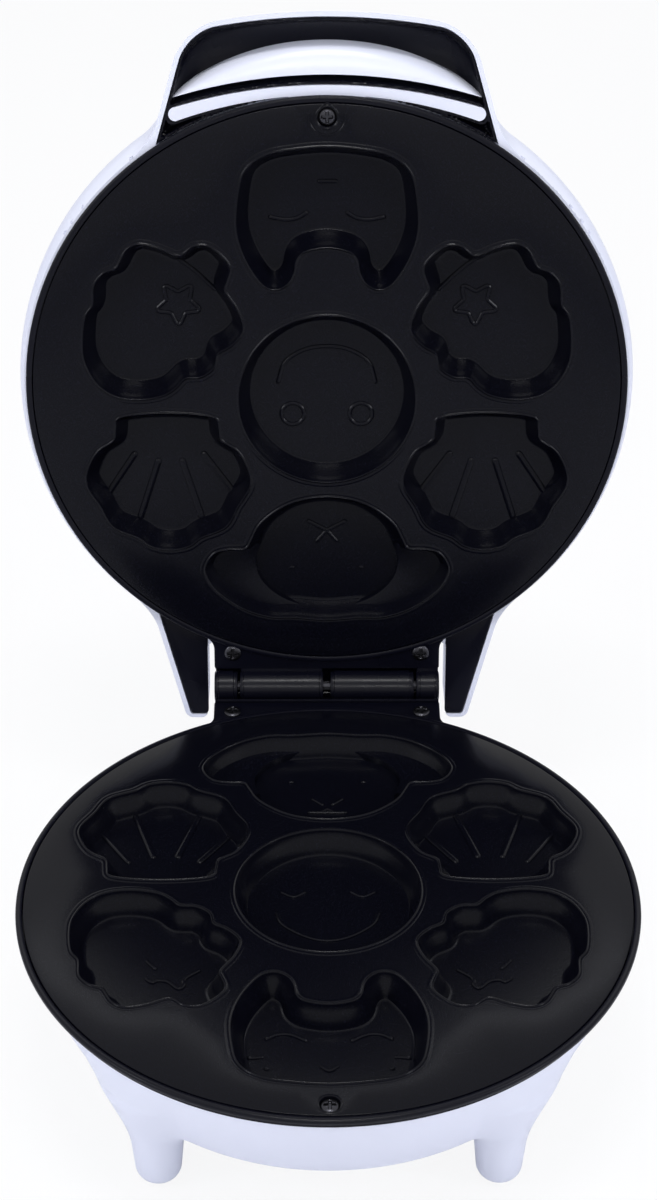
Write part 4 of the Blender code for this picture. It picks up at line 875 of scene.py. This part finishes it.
def bowlShells():
    shell = skin(baseField, (-118.0, -118.0, -76.0), (118.0, 121.0, 0.5), bowl["cell"])
    shell = carved(shell, [halfSpace(bowl["top"], 20.0)])
    seat = slab(bracketOutline(plates["baseRim"], fitGap), 2.0, -(rings["bracketDepth"] + fitGap), 0.0)
    shell = carved(shell, [seat])
    r = bowl["radius"]
    top = bowl["top"]
    band = turned([(r - 2.0, top), (r + 0.15, top), (r + 0.4, top - 0.25), (r + 0.4, top - 2.6),
                   (r + 0.1, top - 3.0), (r - 2.0, top - 3.1)])
    return [shell, carved(band, [seat])]


makePiece("bowl", bowlShells(), basePlace, "base", finishes["white_plastic"], ["base_housing"])
print("bowl made")


# The domed lid with its handle and the horns beside the hinge
lid = {"radius": 116.4, "crown": 46.0, "waist": 13.15, "edge": 3.5, "lipRadius": 114.2, "wall": 2.4, "cell": 1.4,
       "power": 3.0, "handleFillet": 6.0, "hornFillet": 5.0, "lugHalf": 42.0}
handle = {"width": 130.0, "tipWidth": 103.6, "draft": 0.42, "bow": 6.0, "corner": 11.0, "height": 22.0, "reach": 143.4,
          "root": 92.0, "edge": 1.8, "depth": 12.0, "recessArc": 190.0, "liner": 1.5}
lip = {"ring": 113.0, "wedge": 14.0, "inner": 113.1, "innerArc": 161.0, "outer": 116.7, "outerArc": 190.0,
       "end": 57.0, "corner": 2.1}
horns = {"inner": 47.3, "outer": 68.0, "root": 92.0, "tip": 55.6, "end": 139.0, "corner": 2.5, "height": 30.0,
         "edge": 1.5, "cover": 2.0}


# The crown: (r/a)^n + (h/c)^n = 1 above the widest part, and a side that draws in below it
def domeField(radius, height, inset):
    a, c, n = lid["radius"] - inset, lid["crown"] - lid["waist"] - inset, lid["power"]
    up = np.maximum(height - lid["waist"], 0)
    u, v = radius / a, up / c
    scaled = np.maximum((u ** n + v ** n) ** (1 / n), 1e-3)
    slope = np.hypot(u ** (n - 1) / a, v ** (n - 1) / c) / scaled ** (n - 1)
    drop = np.clip((lid["waist"] - height) / (lid["waist"] - lid["edge"]), 0, 1.6)
    return (scaled - 1) / np.maximum(slope, 1e-4) + (lid["radius"] - lid["lipRadius"]) * drop ** 2


def handlePlan(x, y):
    root, tip = handle["width"] / 2, handle["tipWidth"] / 2
    run = handle["reach"] - handle["bow"] - handle["root"]
    slant = (root - tip) / run
    sides = (np.abs(x) - root + slant * (-y - handle["root"])) / math.hypot(1, slant)
    arc = (tip ** 2 + handle["bow"] ** 2) / (2 * handle["bow"])
    end = np.hypot(x, y + handle["reach"] - arc) - arc
    return roundMax(sides, end, handle["corner"])


def hornPlan(x, y):
    slant = (horns["outer"] - horns["tip"]) / (horns["end"] - horns["root"])
    outer = (np.abs(x) - horns["outer"] + slant * (y - horns["root"])) / math.hypot(1, slant)
    sides = roundMax(outer, y - horns["end"], horns["corner"])
    return roundMax(sides, horns["inner"] - np.abs(x), horns["corner"])


def lidField(points):
    x, y, z = np.moveaxis(points, -1, 0)
    radius = np.hypot(x, y)
    body = domeField(radius, z, 0.0)
    grip = roundMax(handlePlan(x, y - handle["draft"] * np.maximum(z - lid["edge"], 0)),
                    z - lid["edge"] - handle["height"], handle["corner"] * 0.8)
    body = roundMin(body, np.maximum(grip, y + handle["root"]), lid["handleFillet"])
    horn = roundMax(hornPlan(x, y), z - lid["edge"] - horns["height"], 4.0)
    body = roundMin(body, np.maximum(horn, horns["root"] - y), lid["hornFillet"])
    end = hingeY - rings["barrel"] - rings["clearance"]
    lug = roundMax(roundMax(np.abs(x) - lid["lugHalf"], y - end, 2.0), z - 27.3, 4.0)
    body = roundMin(body, np.maximum(np.maximum(lug, 60 - y), 6.0 - z), 3.0)
    return np.maximum(np.maximum(body, -domeField(radius, z, lid["wall"])), 1.2 - z)


# The handle's outline: points slid down the plan's slope to where it is as far below zero as the inset
def handleOutline(inset):
    root, tip = handle["width"] / 2, handle["tipWidth"] / 2
    corners = [(-root, -handle["root"]), (-tip, handle["bow"] / 2 - handle["reach"]), (0.0, -handle["reach"]),
               (tip, handle["bow"] / 2 - handle["reach"]), (root, -handle["root"])]
    points = spaced(roundCorners(corners, [0.0, handle["corner"], 90.0, handle["corner"], 0.0], 14), 500)
    sides = points[:, 1] < -handle["root"] - 0.01
    for step in range(12):
        slope = np.column_stack([handlePlan(points[:, 0] + 0.01, points[:, 1]) - handlePlan(points[:, 0] - 0.01, points[:, 1]),
                                 handlePlan(points[:, 0], points[:, 1] + 0.01) - handlePlan(points[:, 0], points[:, 1] - 0.01)]) / 0.02
        value = handlePlan(points[:, 0], points[:, 1]) + inset
        length = np.maximum(np.sum(slope ** 2, -1), 0.25)
        points = points - np.where(sides, value / length, 0)[:, None] * slope
    return points


# The recess in the handle's face: what its outline holds beyond the lid's ring, without a white
# lip between two arcs with rounded ends. The outline alone shifts with the depth.
def recessOutline(inset, shift):
    edge = handleOutline(inset) + [0.0, shift]
    keep = (np.linalg.norm(edge, axis=1) > lip["ring"]) & (edge[:, 1] < -60)
    first = np.flatnonzero(keep & ~np.roll(keep, 1))[0]
    run = np.roll(edge, -first, axis=0)[:keep.sum()]
    loop = np.linspace(0, 1, 300)
    along = np.concatenate([[0.0], np.cumsum(np.linalg.norm(np.diff(run, axis=0), axis=1))])
    run = np.column_stack([np.interp(loop * along[-1], along, run[:, i]) for i in range(2)])
    if run[0, 0] > 0:
        run = run[::-1]
    root = math.asin(run[-1, 0] / lip["ring"])
    ring = arcRun(0.0, lip["ring"], np.linspace(root, math.asin(lip["wedge"] / lip["ring"]), 20))
    inner, outer = lip["innerArc"], lip["outerArc"]
    end = lip["end"] - lip["corner"]
    near = arcRun(inner - lip["inner"], inner, np.linspace(math.asin(lip["wedge"] / inner), math.asin(end / inner), 30))
    far = arcRun(outer - lip["outer"], outer, np.linspace(math.asin(end / outer), 0.0, 40))
    middle, half = (near[-1] + far[0]) / 2, (near[-1] - far[0]) / 2
    bend = np.linspace(0, math.pi, 12)[1:-1, None]
    round_ = middle + half * np.cos(bend) + np.array([half[1], -half[0]]) * np.sin(bend)
    side = np.vstack([ring, near, round_, far])
    return anticlockwise(np.vstack([run, side, side[-2::-1] * [-1, 1]]))


def arcRun(centreY, radius, turns):
    return np.column_stack([radius * np.sin(turns), centreY - radius * np.cos(turns)])


def lipField(x, y):
    outer = np.hypot(x, y - lip["outerArc"] + lip["outer"]) - lip["outerArc"]
    inner = lip["innerArc"] - np.hypot(x, y - lip["innerArc"] + lip["inner"])
    return roundMax(np.maximum(outer, inner), np.abs(x) - lip["end"], lip["corner"])


def hornFace(side, inset):
    slant = (horns["outer"] - horns["tip"]) / (horns["end"] - horns["root"])
    inner, end = horns["inner"] + inset - horns["edge"] - 0.6, horns["end"] - inset
    outerAt = lambda y: horns["outer"] - slant * (y - horns["root"]) - (inset + 0.4) * math.hypot(1, slant)
    edge = lip["ring"] + inset - horns["edge"]
    corners = np.array([(inner, end), (inner, 80.0), (outerAt(80.0), 80.0), (outerAt(end), end)])
    outline = spaced(roundCorners(corners, [1.4, 0.0, 0.0, 1.4], 6), 900)
    outline = outline[np.linalg.norm(outline, axis=1) > edge]
    start = np.argmax(np.linalg.norm(outline - np.roll(outline, 1, axis=0), axis=1))
    outline = np.roll(outline, -start, axis=0)
    first, last = (math.atan2(point[1], point[0]) for point in (outline[-1], outline[0]))
    turns = np.linspace(first, last, 20)[1:-1]
    arc = edge * np.column_stack([np.cos(turns), np.sin(turns)])
    return anticlockwise(spaced(np.vstack([outline, arc]), 200) * [side, 1])


def lidShells():
    shell = skin(lidField, (-119.0, -147.0, 0.0), (119.0, 142.0, 49.0), lid["cell"])
    shell = carved(shell, [halfSpace(-20.0, lid["edge"])])
    top = rings["bracketDepth"] + fitGap + plateGap
    cutters = [slab(bracketOutline(plates["lidRim"], fitGap), top, -2.0, 0.0),
               ringShell([atHeight(recessOutline(handle["edge"], handle["draft"] * deep), lid["edge"] + deep)
                          for deep in (handle["depth"], 0.0)] + [atHeight(recessOutline(handle["edge"], 0.0), -2.0)])]
    shell = carved(shell, cutters)
    return [carved(shell, [slab(hornFace(side, horns["edge"]), lid["edge"] + horns["cover"] + fitGap, -2.0, 0.0)
                           for side in (-1, 1)])]


makePiece("dome", lidShells(), lidPlace, "lid", finishes["white_plastic"], ["lid_housing"])
print("lid made")


# The dark tray in the handle, rounded deep inside, and the white crescent in it
def trayField(points):
    x, y, z = np.moveaxis(points, -1, 0)
    plan = handlePlan(x, y - handle["draft"] * np.maximum(z - lid["edge"], 0)) + handle["edge"]
    plan = np.maximum(plan, np.maximum(-lipField(x, y), lip["ring"] - np.hypot(x, y))) + fitGap
    low, high = lid["edge"] + fitGap, lid["edge"] + handle["depth"] - fitGap
    outer = np.maximum(plan, z - high)
    wall = handle["liner"]
    hollow = roundMax(plan + wall * 0.6, z - high + wall, 8.0)
    return np.maximum(np.maximum(outer, -hollow), low - z)


tray = skin(trayField, (-66.0, -144.0, 0.6), (66.0, -92.0, 17.0), 0.7)
makePiece("handleTray", [tray], lidPlace, "lid", finishes["black_plastic"], ["handle_liner"])

crescent = {"near": 120.2, "far": 131.0, "half": 57.0, "face": 1.6, "drop": 8.5}


# A surface between two arcs: level at the near one, and falling away to the far one as a
# quarter of an oval, with a plain underside
def crescentShell(shape):
    half, arc = shape["half"], handle["recessArc"]
    dip = arc - math.sqrt(arc ** 2 - half ** 2)
    depth = shape["far"] - shape["near"] + dip
    farArc = (half ** 2 + depth ** 2) / (2 * depth)
    x = np.linspace(-half, half, 121)
    near = -(shape["near"] - arc + np.sqrt(arc ** 2 - x ** 2))
    far = np.minimum(-(shape["far"] - farArc + np.sqrt(farArc ** 2 - x ** 2)), near)
    t = np.linspace(0, 1, 15)
    low = lid["edge"] + shape["face"]
    rows, across = [], len(x)
    for share in t:
        y = near + (far - near) * share
        height = low + shape["drop"] * (1 - math.sqrt(max(1 - share ** 2.2, 0)))
        rows.append(np.column_stack([x, y, np.full(across, height)]))
    base = low + shape["drop"] + 0.8
    rows.append(np.column_stack([x, far, np.full(len(x), base)]))
    rows.append(np.column_stack([x, near, np.full(len(x), base)]))
    points = np.vstack(rows)
    count = len(rows)
    row = np.arange(count)[:, None]
    column = np.arange(across - 1)[None, :]
    below = (row + 1) % count
    quads = np.stack([row * across + column, below * across + column, below * across + column + 1,
                      row * across + column + 1], -1).reshape(-1, 4)
    ends = [np.array([[k * across + at for k in range(count)]]) for at in (0, across - 1)]
    return points, [quads, *ends]


makePiece("handleCrescent", [crescentShell(crescent)], lidPlace, "lid",
          finishes["white_plastic"], ["handle_ledge"])
for side, key in ((-1, "left"), (1, "right")):
    face = slab(hornFace(side, horns["edge"] + fitGap), -lid["edge"], -(lid["edge"] + horns["cover"]), 0.3)
    makePiece("hornCover_" + key, [(face[0] * [1, 1, -1], face[1])], lidPlace, "lid",
              finishes["black_plastic"], ["horn_cover_" + key])
print("handle made")


# Small pieces: feet, cord gland and lamps
for name, (spread, degrees, side) in zip(("front_left", "front_right", "rear_left", "rear_right"), bowl["legs"]):
    turn = math.radians(degrees)
    centre = (side * spread * math.cos(turn), spread * math.sin(turn), 0.0)
    pad = turned([(0.0, -71.4), (3.8, -71.4), (3.8, -73.0), (3.65, -73.35), (3.3, -73.5), (2.2, -73.5), (2.0, -73.2),
                  (0.0, -73.2)], 48, centre=centre)
    makePiece("footPad_" + name, [pad], basePlace, "base", finishes["rubber"], ["foot_pad_" + name])

gland = {"start": 108.3, "collar": 6.0, "flange": 8.0, "radius": 5.0, "bore": 3.3, "tail": 14.0}
start, collar = gland["start"], gland["collar"]
profile = [(3.3, start + collar - 0.4), (3.7, start + collar), (4.3, start + collar), (4.6, start + collar - 0.4)]
for k in range(3):  # three flex slots round the collar
    at = start + collar - 1.0 - 0.9 * k
    profile += [(4.62, at), (4.1, at - 0.1), (4.1, at - 0.45), (4.68, at - 0.55)]
profile += [(5.0, start + 2.2), (7.4, start + 1.9), (8.0, start + 1.3), (8.0, start), (5.0, start),
            (5.0, start - gland["tail"]), (3.3, start - gland["tail"])]
makePiece("cordGland", [turned(profile, 64, "y", (0.0, 0.0, bowl["glandZ"]))], basePlace, "base",
          finishes["rubber"], ["cord_gland"])

lamps = {"radius": 3.0, "spacing": 20.0, "y": -84.0, "proud": 1.2, "height": 9.0}
crownAt = lid["waist"] + (lid["crown"] - lid["waist"]) * (1 - (-lamps["y"] / lid["radius"]) ** 3) ** (1 / 3)
for name, side, slotName in (("power_lamp", -1, "red_lens"), ("ready_lamp", 1, "green_lens")):
    top = crownAt + lamps["proud"]
    dome = [(0.0, top)] + [(3.0 * math.sin(a), top - 1.1 * (1 - math.cos(a))) for a in np.linspace(0.15, 1.5, 10)]
    dome += [(3.0, top - 2.0), (3.0, top - lamps["height"]), (0.0, top - lamps["height"])]
    makePiece(name.replace("_l", "L"), [turned(dome, 64, centre=(side * lamps["spacing"] / 2, lamps["y"], 0.0))], lidPlace,
              "lid", finishes[slotName], [name])
print("small pieces made")


# The carried-over inner pieces get their finishes
for name in ("base_heater", "lid_heater"):
    frame["nodes"][name].data.materials[0] = finishes["heater_steel"]
for name in ("base_reflector", "lid_reflector"):
    frame["nodes"][name].data.materials[0] = finishes["reflector_steel"]
for name in ("base_thermostat", "lid_thermostat"):
    frame["nodes"][name].data.materials[0] = finishes["thermostat_body"]
frame["nodes"]["hinge_pin"].data.materials[0] = finishes["screw_steel"]


# Floor, lamps and world
def shownWhite(tree, shader, share):
    rays = tree.nodes.new("ShaderNodeLightPath")
    white = tree.nodes.new("ShaderNodeEmission")
    white.inputs["Color"].default_value = (1, 1, 1, 1)
    seen = tree.nodes.new("ShaderNodeMath")
    seen.operation = "MULTIPLY"
    seen.inputs[1].default_value = share
    tree.links.new(rays.outputs["Is Camera Ray"], seen.inputs[0])
    mix = tree.nodes.new("ShaderNodeMixShader")
    tree.links.new(seen.outputs[0], mix.inputs[0])
    tree.links.new(shader, mix.inputs[1])
    tree.links.new(white.outputs[0], mix.inputs[2])
    return mix.outputs[0]


def makeFloor():
    mesh = bpy.data.meshes.new("floor")
    mesh.from_pydata([(-6, -6, 0), (6, -6, 0), (6, 6, 0), (-6, 6, 0)], [], [(0, 1, 2, 3)])
    thing = bpy.data.objects.new("floor", mesh)
    scene.collection.objects.link(thing)
    made = Finish("floor", (0.86, 0.86, 0.88), 0.9)
    output = made.tree.nodes["Material Output"]
    made.tree.links.new(shownWhite(made.tree, made.shader.outputs[0], 0.87), output.inputs["Surface"])
    thing.data.materials.append(made.material)


def softLight(name, place, target, size, power, colour=(1.0, 1.0, 1.0)):
    data = bpy.data.lights.new(name, "AREA")
    data.shape, data.size, data.size_y, data.energy, data.color = "RECTANGLE", size[0], size[1], power, colour
    thing = bpy.data.objects.new(name, data)
    scene.collection.objects.link(thing)
    thing.location = place
    thing.rotation_euler = (Vector(target) - Vector(place)).to_track_quat("-Z", "Y").to_euler()
    return thing


makeFloor()
middle = (0.0, 0.0, 0.12)
softLight("overhead", (0.0, -0.25, 1.6), middle, (0.5, 0.12), 7.4)
softLight("front", (0.0, -1.5, 1.2), middle, (0.6, 0.08), 5.2)
softLight("edges", (0.0, 0.9, 1.1), middle, (1.3, 0.12), 1.5, (0.92, 0.94, 1.0))
softLight("left", (-1.3, -0.6, 0.9), middle, (0.2, 0.7), 6.0, (0.92, 0.94, 1.0))
softLight("right", (1.3, -0.6, 0.9), middle, (0.2, 0.7), 6.0, (0.92, 0.94, 1.0))

world = bpy.data.worlds.new("studio")
scene.world = world
world.use_nodes = True
ground = world.node_tree.nodes["Background"]
ground.inputs["Color"].default_value = (0.80, 0.82, 0.90, 1.0)
ground.inputs["Strength"].default_value = 0.67
rays = world.node_tree.nodes.new("ShaderNodeLightPath")
seen = world.node_tree.nodes.new("ShaderNodeMath")
seen.operation = "MAXIMUM"
gloss = world.node_tree.nodes.new("ShaderNodeMath")
gloss.operation = "MAXIMUM"
world.node_tree.links.new(rays.outputs["Is Camera Ray"], gloss.inputs[0])
world.node_tree.links.new(rays.outputs["Is Glossy Ray"], gloss.inputs[1])
world.node_tree.links.new(gloss.outputs[0], seen.inputs[0])
world.node_tree.links.new(rays.outputs["Is Transmission Ray"], seen.inputs[1])
bright = world.node_tree.nodes.new("ShaderNodeBackground")
bright.inputs["Color"].default_value = (1, 1, 1, 1)
mixed = world.node_tree.nodes.new("ShaderNodeMixShader")
world.node_tree.links.new(seen.outputs[0], mixed.inputs[0])
world.node_tree.links.new(ground.outputs[0], mixed.inputs[1])
world.node_tree.links.new(bright.outputs[0], mixed.inputs[2])
world.node_tree.links.new(mixed.outputs[0], world.node_tree.nodes["World Output"].inputs["Surface"])
scene.view_settings.view_transform = "Standard"

print("scene made")
